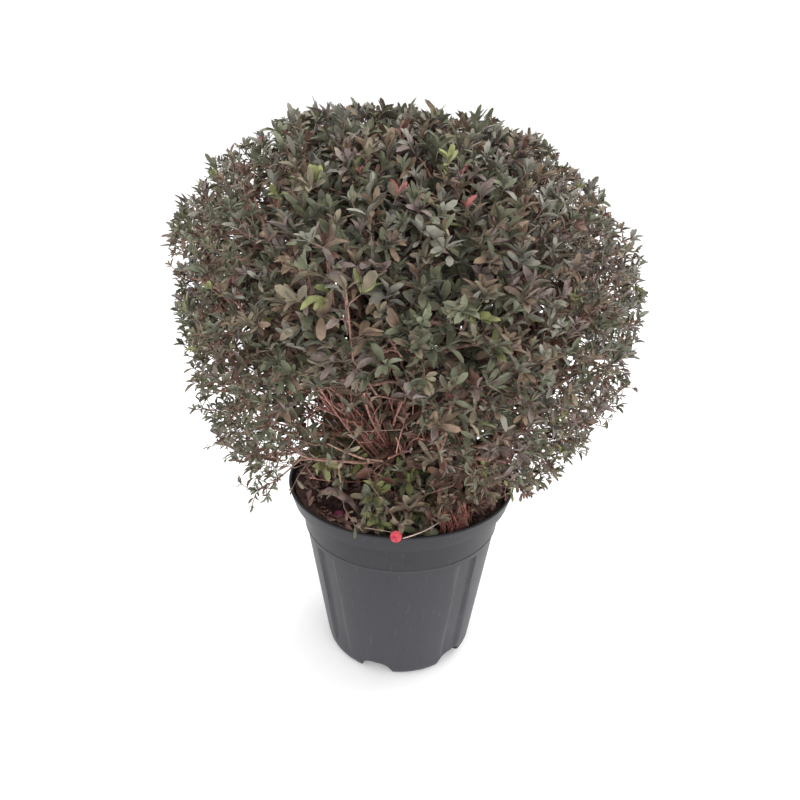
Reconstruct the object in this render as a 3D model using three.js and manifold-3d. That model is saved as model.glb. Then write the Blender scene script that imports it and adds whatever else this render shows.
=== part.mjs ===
// A small-leaved evergreen azalea in a five-litre nursery pot, as it stands on a bench.
// Millimetres, +Z up, origin at the middle of the pot's flat underside, -Y towards the viewer.
//
// The plant is a short trunk on the potting mix, main stems that lean out of it, one bough for
// each mass of foliage, and the masses: twigs that fork from one stem, with leaves at their ends.
import * as THREE from "three";
import { mergeVertices } from "three/addons/utils/BufferGeometryUtils.js";
import Module from "manifold-3d";

const wasm = await Module();
wasm.setup();

// The gap between two pieces that touch, and the sizes of detail to smooth away, tried in turn.
const CLEAR = 0.3;
const SLIVERS = [0.08, 0.11, 0.05, 0.15, 0.2];
const CORNER_DIGITS = [3, 4];

// The pot: a tapered, injection-moulded container with a turned lip.
const POT = {
  height: 196,
  lipRadius: 115,
  lipThick: 3.7,
  lipDrop: 18,
  lipFootRadius: 110.5,
  lipEase: 1.5,
  collarRadius: 104,
  baseRadius: 78.4,
  cornerRadius: 11,
  seamHeight: 148,
  collarTop: 174,
  seamStep: 0.8,
  wall: 2.2,
  floor: 2.5,
  sides: 48,
};

// Four shallow upright flutes in the wall under the collar.
const FLUTE = {
  count: 4,
  firstDeg: 42.2,
  width: 22,
  depth: 3,
  endsUnderSeam: 6,
  blockThick: 30,
  runsBelow: 60,
};

// Six drain arches that notch the foot of the wall, each with a hole in its roof.
const ARCH = {
  count: 6,
  firstDeg: 43.5,
  halfWidth: 17,
  height: 16,
  shoulder: 13,
  innerRadius: 57,
  blockDepth: 60,
  runsBelow: 20,
  holeRadius: 4,
  holeInset: 5.5,
};

// The potting mix fills the pot to below the lip, and stands clear of the ridges inside the wall.
const MIX = {
  top: 173,
  bump: 2.2,
  sides: 24,
  flatRadius: 24,
  ringRadii: [24, 48, 72],
  edgeRound: 3,
  stepRise: 6,
  ridgeRoom: 3.6,
  wellRadius: 54,
};

// The crown's outline: a superellipse above its widest height, and a fuller one below it.
// It ends over the pot, and outside the lip it hangs a little lower.
const CROWN = {
  widestHeight: 381,
  radius: 211,
  topReach: 170,
  topPower: 2.3,
  skirtReach: 297,
  skirtPower: 1.6,
  overPot: 200,
  hangRadius: 122,
  hangsTo: 178,
  topLean: -14,
  focusHeight: 346,
  lobes: [
    { turns: 2, depth: 0.025, phaseDeg: 0 },
    { turns: 5, depth: 0.018, phaseDeg: 20 },
  ],
};

// The short trunk, from a flat cut on the mix to where the main stems leave it.
const TRUNK = {
  footRadius: 17,
  waistRadius: 12.5,
  topRadius: 10.5,
  height: 46,
  leanX: -4,
  leanY: 3,
  flareEnds: 2.6,
  buttresses: 5,
  buttress: 0.1,
  sides: 10,
  segments: 6,
};

// The main stems leave the trunk's shoulder and lean out as they rise.
const STEM = {
  count: 6,
  firstDeg: -62,
  turnSpreadDeg: 12,
  rootRadius: 5.6,
  tipRadius: 3.9,
  leavesTrunkAt: 0.62,
  leavesSpread: 0.3,
  startOut: 4,
  tipOut: 52,
  tipOutSpread: 10,
  tipHeight: 306,
  tipHeightSpread: 26,
  lean: 0.8,
  curl: 0.42,
  sides: 6,
  segments: 4,
};

// A bough for each mass. The top one comes from the fourth main stem.
const BOUGH = {
  rootRadius: 3.8,
  tipRadius: 2.6,
  curl: 0.4,
  leavesSpread: 0.06,
  topBoughStem: 3,
  sides: 5,
  segments: 3,
};

// The rings of foliage masses, from the top down: how many, how far out and how high their middles are,
// where along a main stem their boughs leave it, and how far from the bearer to the middle the bough runs.
const RINGS = [
  { name: "top", count: 1, out: 0, height: 487, firstDeg: 0, leavesStemAt: 0.97, boughRuns: 0.62 },
  { name: "upper", count: 6, out: 112, height: 456, firstDeg: -30, leavesStemAt: 0.9, boughRuns: 0.52 },
  { name: "middle", count: 7, out: 146, height: 366, firstDeg: 4, leavesStemAt: 0.6, boughRuns: 0.5 },
  { name: "skirt", count: 7, out: 134, height: 270, firstDeg: 31, leavesStemAt: 0.3, boughRuns: 0.52 },
];
const RING_WANDER_DEG = 9;

// The lower masses that face the front are open, and the wood shows through them.
const OPEN_FRONT = { ring: "skirt", withinDeg: 75 };

// The low shoots that come from the trunk's foot and fill the pot's mouth, by their direction from the front.
const LOW_SHOOTS = {
  directionsDeg: [6, 52, 118, 186, 252],
  out: 70,
  height: 204,
  reach: 36,
  flat: 0.5,
  lift: 6,
  liftSpread: 10,
  twigEnds: 4,
  leavesTrunkAt: 0.3,
  lean: 0.7,
  overLip: 8,
};

// Growth: how many twig ends the whole crown has, and how the wood forks to reach them.
const GROWTH = {
  twigEnds: 212,
  endDepth: 20,
  endClearance: 8,
  lowestRise: -0.74,
  forkShare: 0.45,
  stemShare: 0.5,
  curl: 0.35,
  twigRadius: 1.5,
  endTaper: 0.7,
  taper: 0.9,
  pipePower: 0.38,
  cellGap: 1.2,
  limbGap: 1.4,
  freeOfStem: 12,
  twigSides: 3,
  stemSides: 5,
  twigSegments: 2,
  swells: [1, 1.03, 1.06, 1.09, 1.12, 1.15],
};

// A leaf stands for a few real ones, so it is larger than life.
// One that doesn't fit is turned, closed and shrunk.
const LEAF = {
  length: 48,
  width: 24,
  thick: 1.3,
  dome: 0.06,
  widestAt: 0.56,
  perEnd: 3,
  sizeSpread: 0.2,
  leastOpenDeg: 38,
  mostOpenDeg: 82,
  rootInset: 1.6,
  rootStep: 5,
  sink: 0.5,
  turnSpread: 2,
  tries: 14,
  retryTurn: 1.1,
  retryCloseDeg: 2.5,
  retryShrink: 0.03,
};

// The heart of a dense mass, by how deep it lies between the crown's focus, at 0, and its outline, at 1.
const CORE = { inner: 0.45, outer: 0.8, most: 84, step: 3, roughness: 0.12, limbGap: 4 };

// Masses that are more bronze than green: the upper ones, and those on the right.
const BRONZE = { fromHeight: 381, heightShare: 0.6, least: 30 };

const COLOURS = {
  pot: 0x4c4c50,
  mix: 0x3a2b25,
  bark: 0x6e4b3b,
  green: 0x4a5440,
  bronze: 0x5d4d43,
};

const X = new THREE.Vector3(1, 0, 0);
const Z = new THREE.Vector3(0, 0, 1);
const GOLDEN_ANGLE = Math.PI * (3 - Math.sqrt(5));
const radians = THREE.MathUtils.degToRad;

// A number from 0 to 1 that depends only on what is counted, so the shrub grows the same way each time.
function chance(index, salt) {
  const wave = Math.sin(index * 12.9898 + salt * 78.233) * 43758.5453;
  return wave - Math.floor(wave);
}

// A point at a direction measured from the front, towards the right, in degrees.
function polar(directionDeg, out, height) {
  const angle = radians(directionDeg);
  return new THREE.Vector3(out * Math.sin(angle), -out * Math.cos(angle), height);
}

// Solids and booleans.

function solidOf(geometry) {
  const bare = geometry.clone();
  bare.deleteAttribute("normal");
  bare.deleteAttribute("uv");
  const merged = mergeVertices(bare, 1e-4);
  const triangles = [];
  const index = merged.index.array;
  for (let i = 0; i < index.length; i += 3) {
    const [a, b, c] = [index[i], index[i + 1], index[i + 2]];
    if (a !== b && b !== c && c !== a) triangles.push(a, b, c);
  }
  const mesh = new wasm.Mesh({
    numProp: 3,
    vertProperties: new Float32Array(merged.attributes.position.array),
    triVerts: new Uint32Array(triangles),
  });
  return new wasm.Manifold(mesh);
}

function geometryOf(solid) {
  const mesh = solid.getMesh();
  return new THREE.BufferGeometry()
    .setAttribute("position", new THREE.BufferAttribute(new Float32Array(mesh.vertProperties), 3))
    .setIndex(new THREE.BufferAttribute(new Uint32Array(mesh.triVerts), 1));
}

function joined(solids) {
  return solids.reduce((whole, solid) => whole.add(solid));
}

// True if every edge of a solid has a face on each side once its corners are rounded, finely or coarsely.
function closes(solid) {
  return CORNER_DIGITS.every((digits) => closesAt(solid, digits));
}

function closesAt(solid, digits) {
  const { vertProperties, triVerts } = solid.getMesh();
  const corner = (v) => Array.from(vertProperties.slice(3 * v, 3 * v + 3), (mm) => mm.toFixed(digits)).join();
  const faces = new Map();
  for (let i = 0; i < triVerts.length; i += 3) {
    const corners = [0, 1, 2].map((k) => corner(triVerts[i + k]));
    if (new Set(corners).size < 3) continue;
    corners.forEach((from, k) => {
      const edge = [from, corners[(k + 1) % 3]].sort().join(" ");
      faces.set(edge, (faces.get(edge) ?? 0) + 1);
    });
  }
  return [...faces.values()].every((count) => count === 2);
}

// The largest body of a solid: slivers are smoothed away, and scraps that a cut leaves loose are dropped.
function largestBody(solid) {
  const tries = SLIVERS.map((sliver) => {
    const bodies = solid.asOriginal().simplify(sliver).decompose();
    return bodies.reduce((most, body) => (body.volume() > most.volume() ? body : most));
  });
  return tries.find(closes) ?? tries[0];
}

// A solid with its box, so that most pairs that are far apart are told by their boxes alone.
function boxed(solid) {
  const { min, max } = solid.boundingBox();
  return { solid, box: new THREE.Box3(new THREE.Vector3(...min), new THREE.Vector3(...max)) };
}

function crossesAny(piece, others) {
  const near = others.filter(({ box }) => box.intersectsBox(piece.box));
  return near.some(({ solid }) => !solid.intersect(piece.solid).isEmpty());
}

// A round, tapering limb along a curve, with flat ends.
function limbGeometry(curve, rootRadius, tipRadius, sides, segments) {
  const geometry = new THREE.CylinderGeometry(1, 1, 1, sides, segments);
  const frames = curve.computeFrenetFrames(segments, false);
  const place = geometry.attributes.position;
  for (let i = 0; i < place.count; i++) {
    const along = THREE.MathUtils.clamp(place.getY(i) + 0.5, 0, 1);
    const station = Math.round(along * segments);
    const radius = THREE.MathUtils.lerp(rootRadius, tipRadius, along);
    const point = curve
      .getPointAt(along)
      .addScaledVector(frames.normals[station], -place.getX(i) * radius)
      .addScaledVector(frames.binormals[station], place.getZ(i) * radius);
    place.setXYZ(i, point.x, point.y, point.z);
  }
  return geometry;
}

// A gently bent path that leaves a point along a heading.
function bentPath(from, heading, to, curl) {
  const middle = from.clone().addScaledVector(heading, from.distanceTo(to) * curl);
  return new THREE.QuadraticBezierCurve3(from, middle, to);
}

// The pot.

function potWallRadius(height) {
  const share = height / (POT.height - POT.lipDrop);
  const radius = THREE.MathUtils.lerp(POT.baseRadius, POT.collarRadius, share);
  return height > POT.seamHeight ? radius : radius - POT.seamStep;
}

// The radius of the pot's inside below the lip.
function hollowRadius(height) {
  if (height <= POT.seamHeight) return potWallRadius(height) - POT.wall;
  const share = (height - POT.seamHeight) / (POT.collarTop - POT.seamHeight);
  return THREE.MathUtils.lerp(potWallRadius(POT.seamHeight), POT.collarRadius, share) - POT.wall;
}

// A profile of [radius, height] points, from the axis at the bottom to the axis at the top, turned about +Z.
function latheGeometry(points, sides) {
  const profile = points.map(([radius, height]) => new THREE.Vector2(radius, height));
  return new THREE.LatheGeometry(profile, sides).rotateX(Math.PI / 2);
}

// The rounded corner between the pot's floor and its wall, from the floor up.
function cornerArc(shrink, steps) {
  const radius = POT.cornerRadius - shrink;
  const centreRadius = potWallRadius(POT.cornerRadius) - POT.cornerRadius;
  return Array.from({ length: steps + 1 }, (_, i) => {
    const angle = ((i / steps) * Math.PI) / 2;
    return [centreRadius + radius * Math.sin(angle), POT.cornerRadius - radius * Math.cos(angle)];
  });
}

function potOutside() {
  const underLip = POT.height - POT.lipDrop;
  const aboveSeam = POT.seamHeight + POT.seamStep;
  return solidOf(
    latheGeometry(
      [
        [0, 0],
        ...cornerArc(0, 3),
        [potWallRadius(POT.seamHeight), POT.seamHeight],
        [potWallRadius(aboveSeam), aboveSeam],
        [POT.collarRadius, underLip],
        [POT.lipFootRadius, underLip + POT.lipEase],
        [POT.lipRadius - POT.lipEase / 3, POT.height - POT.lipEase],
        [POT.lipRadius - POT.lipEase, POT.height],
        [0, POT.height],
      ],
      POT.sides,
    ),
  );
}

// The hollow of the pot, open at the lip.
function potHollow() {
  const mouth = POT.lipRadius - POT.lipThick;
  return solidOf(
    latheGeometry(
      [
        [0, POT.floor],
        ...cornerArc(POT.wall, 2),
        [hollowRadius(POT.seamHeight), POT.seamHeight],
        [hollowRadius(POT.collarTop), POT.collarTop],
        [mouth, POT.height],
        [mouth, POT.height + POT.lipDrop],
        [0, POT.height + POT.lipDrop],
      ],
      POT.sides,
    ),
  );
}

// The room that the lip takes up, with a little to spare, which leaves and twigs keep out of.
function lipRoom() {
  const inner = POT.lipRadius - POT.lipThick - 2 * CLEAR;
  const outer = POT.lipRadius + 2 * CLEAR;
  const [low, high] = [POT.seamHeight, POT.height + 2 * CLEAR];
  const ring = [
    [inner, low],
    [outer, low],
    [outer, high],
    [inner, high],
    [inner, low],
  ];
  return solidOf(latheGeometry(ring, POT.sides));
}

function turnedRound(geometry, directionDeg) {
  return geometry.rotateZ(radians(directionDeg));
}

// The blocks that press the flutes into the wall, or, grown, the ridges that they raise inside it.
function fluteBlocks(grow) {
  const height = POT.seamHeight - FLUTE.endsUnderSeam;
  const thick = FLUTE.blockThick;
  const slope = Math.atan((POT.collarRadius - POT.baseRadius) / (POT.height - POT.lipDrop));
  return Array.from({ length: FLUTE.count }, (_, i) => {
    const box = new THREE.BoxGeometry(FLUTE.width + 2 * grow, thick, height + 2 * grow + FLUTE.runsBelow);
    box.rotateX(slope);
    const lean = (height - FLUTE.runsBelow) / 2;
    const radius = potWallRadius(lean) - FLUTE.depth - grow + thick / 2 / Math.cos(slope);
    box.translate(0, -radius, lean);
    return solidOf(turnedRound(box, FLUTE.firstDeg + (i * 360) / FLUTE.count));
  });
}

function archShape(grow) {
  const half = ARCH.halfWidth + grow;
  const top = ARCH.height + grow;
  const shoulder = ARCH.shoulder;
  const shape = new THREE.Shape();
  shape.moveTo(-half, -ARCH.runsBelow);
  shape.lineTo(half, -ARCH.runsBelow);
  shape.lineTo(half, top - shoulder);
  shape.absarc(half - shoulder, top - shoulder, shoulder, 0, Math.PI / 2, false);
  shape.lineTo(shoulder - half, top);
  shape.absarc(shoulder - half, top - shoulder, shoulder, Math.PI / 2, Math.PI, false);
  return shape;
}

function archBlocks(grow) {
  const options = { depth: ARCH.blockDepth, bevelEnabled: false, curveSegments: 4 };
  return Array.from({ length: ARCH.count }, (_, i) => {
    const arch = new THREE.ExtrudeGeometry(archShape(grow), options);
    arch.rotateX(Math.PI / 2);
    arch.translate(0, -(ARCH.innerRadius - grow), 0);
    return solidOf(turnedRound(arch, ARCH.firstDeg + (i * 360) / ARCH.count));
  });
}

function drainHoles() {
  return Array.from({ length: ARCH.count }, (_, i) => {
    const hole = new THREE.CylinderGeometry(ARCH.holeRadius, ARCH.holeRadius, 20, 8);
    hole.rotateX(Math.PI / 2);
    hole.translate(0, -(ARCH.innerRadius + ARCH.holeInset), ARCH.height);
    return solidOf(turnedRound(hole, ARCH.firstDeg + (i * 360) / ARCH.count));
  });
}

function potSolid() {
  const ridges = joined([...fluteBlocks(POT.wall), ...archBlocks(POT.wall)]);
  const hollow = potHollow().subtract(ridges);
  const presses = joined([...fluteBlocks(0), ...archBlocks(0), ...drainHoles()]);
  return largestBody(potOutside().subtract(hollow).subtract(presses));
}

// The potting mix: a turned plug, with an uneven top that is flat only round the trunk's foot.
function mixSolid() {
  const underRidges = ARCH.height + POT.wall + CLEAR;
  const wallAt = (height, room) => hollowRadius(height) - room;
  const rim = wallAt(MIX.top, CLEAR);
  const profile = [
    [0, POT.floor + CLEAR],
    [MIX.wellRadius, POT.floor + CLEAR],
    [MIX.wellRadius, underRidges],
    [wallAt(underRidges, MIX.ridgeRoom), underRidges],
    [wallAt(POT.seamHeight, MIX.ridgeRoom), POT.seamHeight],
    [wallAt(POT.seamHeight + MIX.stepRise, CLEAR), POT.seamHeight + MIX.stepRise],
    [wallAt(MIX.top - MIX.edgeRound, CLEAR), MIX.top - MIX.edgeRound],
    ...[...MIX.ringRadii, rim - MIX.edgeRound].reverse().map((radius) => [radius, MIX.top]),
    [0, MIX.top],
  ];
  const lathe = latheGeometry(profile, MIX.sides);
  const place = lathe.attributes.position;
  for (let i = 0; i < place.count; i++) {
    const radius = Math.hypot(place.getX(i), place.getY(i));
    if (place.getZ(i) < MIX.top - 1 || radius < MIX.flatRadius + 1) continue;
    const turn = Math.atan2(place.getY(i), place.getX(i)) / (2 * Math.PI);
    const side = Math.round((turn + 1) * MIX.sides) % MIX.sides;
    const lift = chance(side + 1, Math.round(radius)) - 0.5;
    place.setZ(i, MIX.top + lift * 2 * MIX.bump);
  }
  return solidOf(lathe);
}

// The crown's outline.

function crownRadius(height) {
  const above = height > CROWN.widestHeight;
  const power = above ? CROWN.topPower : CROWN.skirtPower;
  const share = Math.abs(height - CROWN.widestHeight) / (above ? CROWN.topReach : CROWN.skirtReach);
  return share >= 1 ? 0 : CROWN.radius * (1 - share ** power) ** (1 / power);
}

function crownAxisX(height) {
  return (CROWN.topLean * Math.max(0, height - CROWN.widestHeight)) / CROWN.topReach;
}

// The crown isn't quite round in plan: it is a little wider across the front, and lobed.
function lobed(x, y) {
  const angle = Math.atan2(y, x);
  const swell = ({ turns, depth, phaseDeg }) => depth * Math.cos(turns * angle + radians(phaseDeg));
  return CROWN.lobes.reduce((share, lobe) => share + swell(lobe), 1);
}

function insideCrown(point) {
  const x = point.x - crownAxisX(point.z);
  const radius = Math.hypot(x, point.y);
  if (point.z < (radius > CROWN.hangRadius ? CROWN.hangsTo : CROWN.overPot)) return false;
  return radius < crownRadius(point.z) * lobed(x, point.y);
}

const focus = new THREE.Vector3(0, 0, CROWN.focusHeight);

// How far the crown reaches from its focus in a direction.
function reachAlong(direction) {
  let near = 0;
  let far = 2 * CROWN.radius;
  for (let i = 0; i < 24; i++) {
    const middle = (near + far) / 2;
    if (insideCrown(focus.clone().addScaledVector(direction, middle))) near = middle;
    else far = middle;
  }
  return near;
}

// Where a point lies between the focus, at 0, and the crown's outline, at 1.
function depthShare(point) {
  const arm = point.clone().sub(focus);
  const length = arm.length();
  return length / reachAlong(arm.divideScalar(length));
}

// The masses of foliage and the wood that carries them.

function openToFront(ring, directionDeg) {
  const turn = ((directionDeg + 180) % 360) - 180;
  return ring.name === OPEN_FRONT.ring && Math.abs(turn) < OPEN_FRONT.withinDeg;
}

function crownMasses() {
  return RINGS.flatMap((ring) =>
    Array.from({ length: ring.count }, (_, i) => {
      const wander = ring.count === 1 ? 0 : (chance(i + 1, ring.height) - 0.5) * RING_WANDER_DEG;
      const directionDeg = ring.firstDeg + (i * 360) / ring.count + wander;
      const middle = polar(directionDeg, ring.out, ring.height);
      middle.x += crownAxisX(ring.height);
      const name = ring.count === 1 ? `foliage_${ring.name}` : `foliage_${ring.name}_${i + 1}`;
      return { name, ring, directionDeg, middle, core: !openToFront(ring, directionDeg), ends: [] };
    }),
  );
}

function lowMasses() {
  return LOW_SHOOTS.directionsDeg.map((directionDeg, i) => {
    const middle = polar(directionDeg, LOW_SHOOTS.out, LOW_SHOOTS.height);
    const out = polar(directionDeg, 1, 0);
    const side = new THREE.Vector3().crossVectors(Z, out);
    const ends = Array.from({ length: LOW_SHOOTS.twigEnds }, (_, k) => {
      const spread = LOW_SHOOTS.reach * Math.sqrt((k + 0.5) / LOW_SHOOTS.twigEnds);
      const end = middle.clone().addScaledVector(side, spread * Math.cos(k * GOLDEN_ANGLE));
      end.addScaledVector(out, spread * Math.sin(k * GOLDEN_ANGLE) * LOW_SHOOTS.flat);
      return end.addScaledVector(Z, LOW_SHOOTS.lift + LOW_SHOOTS.liftSpread * chance(k + 1, i));
    });
    return { name: `low_shoot_${i + 1}`, directionDeg, middle, core: false, ends };
  });
}

// True where a point is in a mass's own cell, which reaches halfway to its neighbours' middles.
function inCell(mass, point, masses) {
  return masses.every((other) => {
    if (other === mass) return true;
    const across = other.middle.clone().sub(mass.middle);
    const half = across.length() / 2 - GROWTH.cellGap / 2;
    return point.clone().sub(mass.middle).dot(across.normalize()) < half;
  });
}

const limbs = [];
const STATIONS = 12;

// A limb keeps its curve and radii, so that leaves and later limbs can be kept off it.
function addLimb(name, curve, rootRadius, tipRadius, sides, segments) {
  const limb = { name, curve };
  limb.solid = solidOf(limbGeometry(curve, rootRadius, tipRadius, sides, segments));
  limb.grown = solidOf(limbGeometry(curve, rootRadius + CLEAR, tipRadius + CLEAR, sides, segments));
  for (const earlier of limbs) {
    limb.solid = limb.solid.subtract(earlier.grown);
  }
  limb.solid = largestBody(limb.solid);
  limb.stations = Array.from({ length: STATIONS + 1 }, (_, i) => ({
    point: curve.getPointAt(i / STATIONS),
    radius: THREE.MathUtils.lerp(rootRadius, tipRadius, i / STATIONS),
  }));
  limbs.push(limb);
  return limb;
}

function clearOfLimbs(point, spare) {
  return limbs.every(({ stations }) =>
    stations.every((station, i) => {
      if (i === 0) return true;
      const stretch = new THREE.Line3(stations[i - 1].point, station.point);
      const foot = stretch.closestPointToPoint(point, true, new THREE.Vector3());
      return foot.distanceTo(point) > station.radius + spare;
    }),
  );
}

// The trunk leans a little, tapers, and flares into five buttresses at its flat foot.
function trunkGeometry(curve, grow) {
  const [foot, head] = [curve.v1, curve.v2];
  const geometry = limbGeometry(curve, 1, 1, TRUNK.sides, TRUNK.segments);
  const place = geometry.attributes.position;
  for (let i = 0; i < place.count; i++) {
    const share = THREE.MathUtils.clamp((place.getZ(i) - foot.z) / (head.z - foot.z), 0, 1);
    const centre = curve.getPoint(share);
    const arm = new THREE.Vector3(place.getX(i) - centre.x, place.getY(i) - centre.y, 0);
    const onAxis = arm.length() < 0.5;
    const spread = (TRUNK.footRadius - TRUNK.waistRadius) * Math.max(0, 1 - share * TRUNK.flareEnds) ** 2;
    const radius = THREE.MathUtils.lerp(TRUNK.waistRadius + spread, TRUNK.topRadius, share);
    const wave = Math.cos(Math.atan2(arm.y, arm.x) * TRUNK.buttresses);
    const ridge = 1 + TRUNK.buttress * Math.max(0, 1 - 2 * share) * wave;
    if (!onAxis) arm.setLength(radius * ridge + grow);
    const rise = share === 0 ? -grow : share === 1 ? grow : 0;
    place.setXYZ(i, centre.x + (onAxis ? 0 : arm.x), centre.y + (onAxis ? 0 : arm.y), centre.z + rise);
  }
  return geometry;
}

function trunkLimb() {
  const foot = new THREE.Vector3(0, 0, MIX.top + CLEAR);
  const head = new THREE.Vector3(TRUNK.leanX, TRUNK.leanY, MIX.top + TRUNK.height);
  const curve = new THREE.LineCurve3(foot, head);
  const limb = {
    name: "trunk",
    curve,
    solid: solidOf(trunkGeometry(curve, 0)),
    grown: solidOf(trunkGeometry(curve, CLEAR)),
    stations: [
      { point: foot, radius: TRUNK.footRadius },
      { point: curve.getPoint(0.4), radius: TRUNK.waistRadius + 1 },
      { point: head, radius: TRUNK.waistRadius },
    ],
  };
  limbs.push(limb);
  return limb;
}

// The main stems fan out of the trunk's shoulder and rise towards the crown's upper ring.
function mainStems(trunk) {
  return Array.from({ length: STEM.count }, (_, i) => {
    const wander = (chance(i + 1, 3) - 0.5) * STEM.turnSpreadDeg;
    const directionDeg = STEM.firstDeg + (i * 360) / STEM.count + wander;
    const out = polar(directionDeg, 1, 0);
    const start = trunk.curve.getPoint(STEM.leavesTrunkAt + STEM.leavesSpread * chance(i + 1, 5));
    start.addScaledVector(out, STEM.startOut);
    const tipOut = STEM.tipOut + STEM.tipOutSpread * chance(i + 1, 7);
    const end = polar(directionDeg, tipOut, STEM.tipHeight + STEM.tipHeightSpread * chance(i + 1, 9));
    const heading = out.multiplyScalar(STEM.lean).add(Z).normalize();
    const curve = bentPath(start, heading, end, STEM.curl);
    addLimb(`main_stem_${i + 1}`, curve, STEM.rootRadius, STEM.tipRadius, STEM.sides, STEM.segments);
    return { curve, directionDeg };
  });
}

// The stem that leans most nearly towards a mass.
function nearestStem(stems, mass) {
  const turn = (stem) => {
    const off = Math.abs(stem.directionDeg - mass.directionDeg) % 360;
    return Math.min(off, 360 - off);
  };
  return stems.reduce((best, stem) => (turn(stem) < turn(best) ? stem : best));
}

// Each mass has one bough. It leaves a main stem and ends where it enters the mass.
function boughFor(mass, stems) {
  const { ring } = mass;
  const stem = ring.count === 1 ? stems[BOUGH.topBoughStem] : nearestStem(stems, mass);
  const share = ring.leavesStemAt - BOUGH.leavesSpread * chance(mass.directionDeg, 11);
  const start = stem.curve.getPointAt(share);
  const end = start.clone().lerp(mass.middle, ring.boughRuns);
  const heading = stem.curve.getTangentAt(share).add(end.clone().sub(start).normalize()).normalize();
  const curve = bentPath(start, heading, end, BOUGH.curl);
  const name = mass.name.replace("foliage", "bough");
  return addLimb(name, curve, BOUGH.rootRadius, BOUGH.tipRadius, BOUGH.sides, BOUGH.segments);
}

// The twig ends are spread evenly over the crown, and each belongs to the mass whose cell it is in.
function shareTwigEnds(masses) {
  for (let k = 0; k < GROWTH.twigEnds; k++) {
    const rise = 1 - (2 * (k + 0.5)) / GROWTH.twigEnds;
    const flat = Math.sqrt(1 - rise * rise);
    const turn = k * GOLDEN_ANGLE;
    const direction = new THREE.Vector3(flat * Math.cos(turn), flat * Math.sin(turn), rise);
    const end = focus.clone().addScaledVector(direction, reachAlong(direction) - GROWTH.endDepth);
    if (end.z < CROWN.overPot + GROWTH.endClearance || rise < GROWTH.lowestRise) continue;
    const rooms = masses.map((mass) => mass.middle.distanceTo(end));
    masses[rooms.indexOf(Math.min(...rooms))].ends.push(end);
  }
}

// Splits twig ends into up to three groups that lie together: each goes with the nearest of three ends that
// are far apart.
function splitEnds(ends, from) {
  if (ends.length <= 3) return ends.map((end) => [end]);
  const farthest = (points) => {
    const room = (end) => Math.min(...points.map((point) => point.distanceTo(end)));
    return ends.reduce((best, end) => (room(end) > room(best) ? end : best));
  };
  const seeds = [farthest([from])];
  seeds.push(farthest(seeds));
  seeds.push(farthest(seeds));
  const groups = seeds.map(() => []);
  for (const end of ends) {
    const rooms = seeds.map((seed) => seed.distanceTo(end));
    groups[rooms.indexOf(Math.min(...rooms))].push(end);
  }
  return groups.filter((group) => group.length > 0);
}

function middleOf(points) {
  return points.reduce((sum, point) => sum.add(point), new THREE.Vector3()).divideScalar(points.length);
}

// The forking rule: from where the wood has got to, a twig goes part of the way to each group of ends, and
// forks again.
function growTwigs(from, heading, ends, twigs) {
  for (const group of splitEnds(ends, from)) {
    const last = group.length === 1;
    const to = last ? group[0] : from.clone().lerp(middleOf(group), GROWTH.forkShare);
    twigs.push({ curve: bentPath(from, heading, to, GROWTH.curl), carries: group.length, last });
    if (!last) growTwigs(to, to.clone().sub(from).normalize(), group, twigs);
  }
  return twigs;
}

function woodRadius(carries) {
  return GROWTH.twigRadius * carries ** GROWTH.pipePower;
}

function cornersOf(geometry) {
  const place = geometry.attributes.position;
  return Array.from({ length: place.count }, (_, i) => new THREE.Vector3().fromBufferAttribute(place, i));
}

// A leaf of eight faces: pointed at both ends, widest past its middle, and slightly domed.
function leafGeometry(root, direction, up, size) {
  const leaf = new THREE.OctahedronGeometry(1);
  const side = new THREE.Vector3().crossVectors(direction, up).normalize();
  const face = new THREE.Vector3().crossVectors(side, direction);
  const place = leaf.attributes.position;
  for (let i = 0; i < place.count; i++) {
    const [x, y, z] = [place.getX(i), place.getY(i), place.getZ(i)];
    const along = y === 0 ? LEAF.widestAt : (y + 1) / 2;
    const point = root
      .clone()
      .addScaledVector(direction, along * LEAF.length * size)
      .addScaledVector(side, (x * LEAF.width * size) / 2)
      .addScaledVector(face, (z * LEAF.thick) / 2 + (y === 0 ? LEAF.dome * LEAF.length * size : 0));
    place.setXYZ(i, point.x, point.y, point.z);
  }
  return leaf;
}

// The leaves of one twig end: a whorl that opens round the twig's tip. A leaf that finds no room is left out.
function whorl(twig, number, fits, others) {
  const tangent = twig.curve.getTangentAt(1);
  const tip = twig.curve.getPointAt(1);
  const across = new THREE.Vector3().crossVectors(tangent, Math.abs(tangent.z) > 0.9 ? X : Z).normalize();
  const leaves = [];
  for (let k = 0; k < LEAF.perEnd; k++) {
    const openDeg = THREE.MathUtils.lerp(LEAF.leastOpenDeg, LEAF.mostOpenDeg, chance(number + 1, k + 20));
    const firstSize = 1 + LEAF.sizeSpread * (chance(number + 1, k + 40) - 0.5);
    const firstTurn = k * GOLDEN_ANGLE + LEAF.turnSpread * chance(number + 1, k);
    for (let attempt = 0; attempt < LEAF.tries; attempt++) {
      const spread = radians(openDeg - attempt * LEAF.retryCloseDeg);
      const side = across.clone().applyAxisAngle(tangent, firstTurn + attempt * LEAF.retryTurn);
      const direction = tangent.clone().multiplyScalar(Math.cos(spread));
      direction.addScaledVector(side, Math.sin(spread));
      const root = tip.clone().addScaledVector(tangent, -LEAF.rootInset - LEAF.rootStep * k);
      root.addScaledVector(direction, -LEAF.sink);
      const leaf = leafGeometry(root, direction, tangent, firstSize - attempt * LEAF.retryShrink);
      if (!fits(cornersOf(leaf).filter((corner) => corner.distanceTo(root) > LEAF.thick))) continue;
      const piece = boxed(solidOf(leaf));
      if (crossesAny(piece, [...others, ...leaves])) continue;
      leaves.push(piece);
      break;
    }
  }
  return leaves;
}

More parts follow.
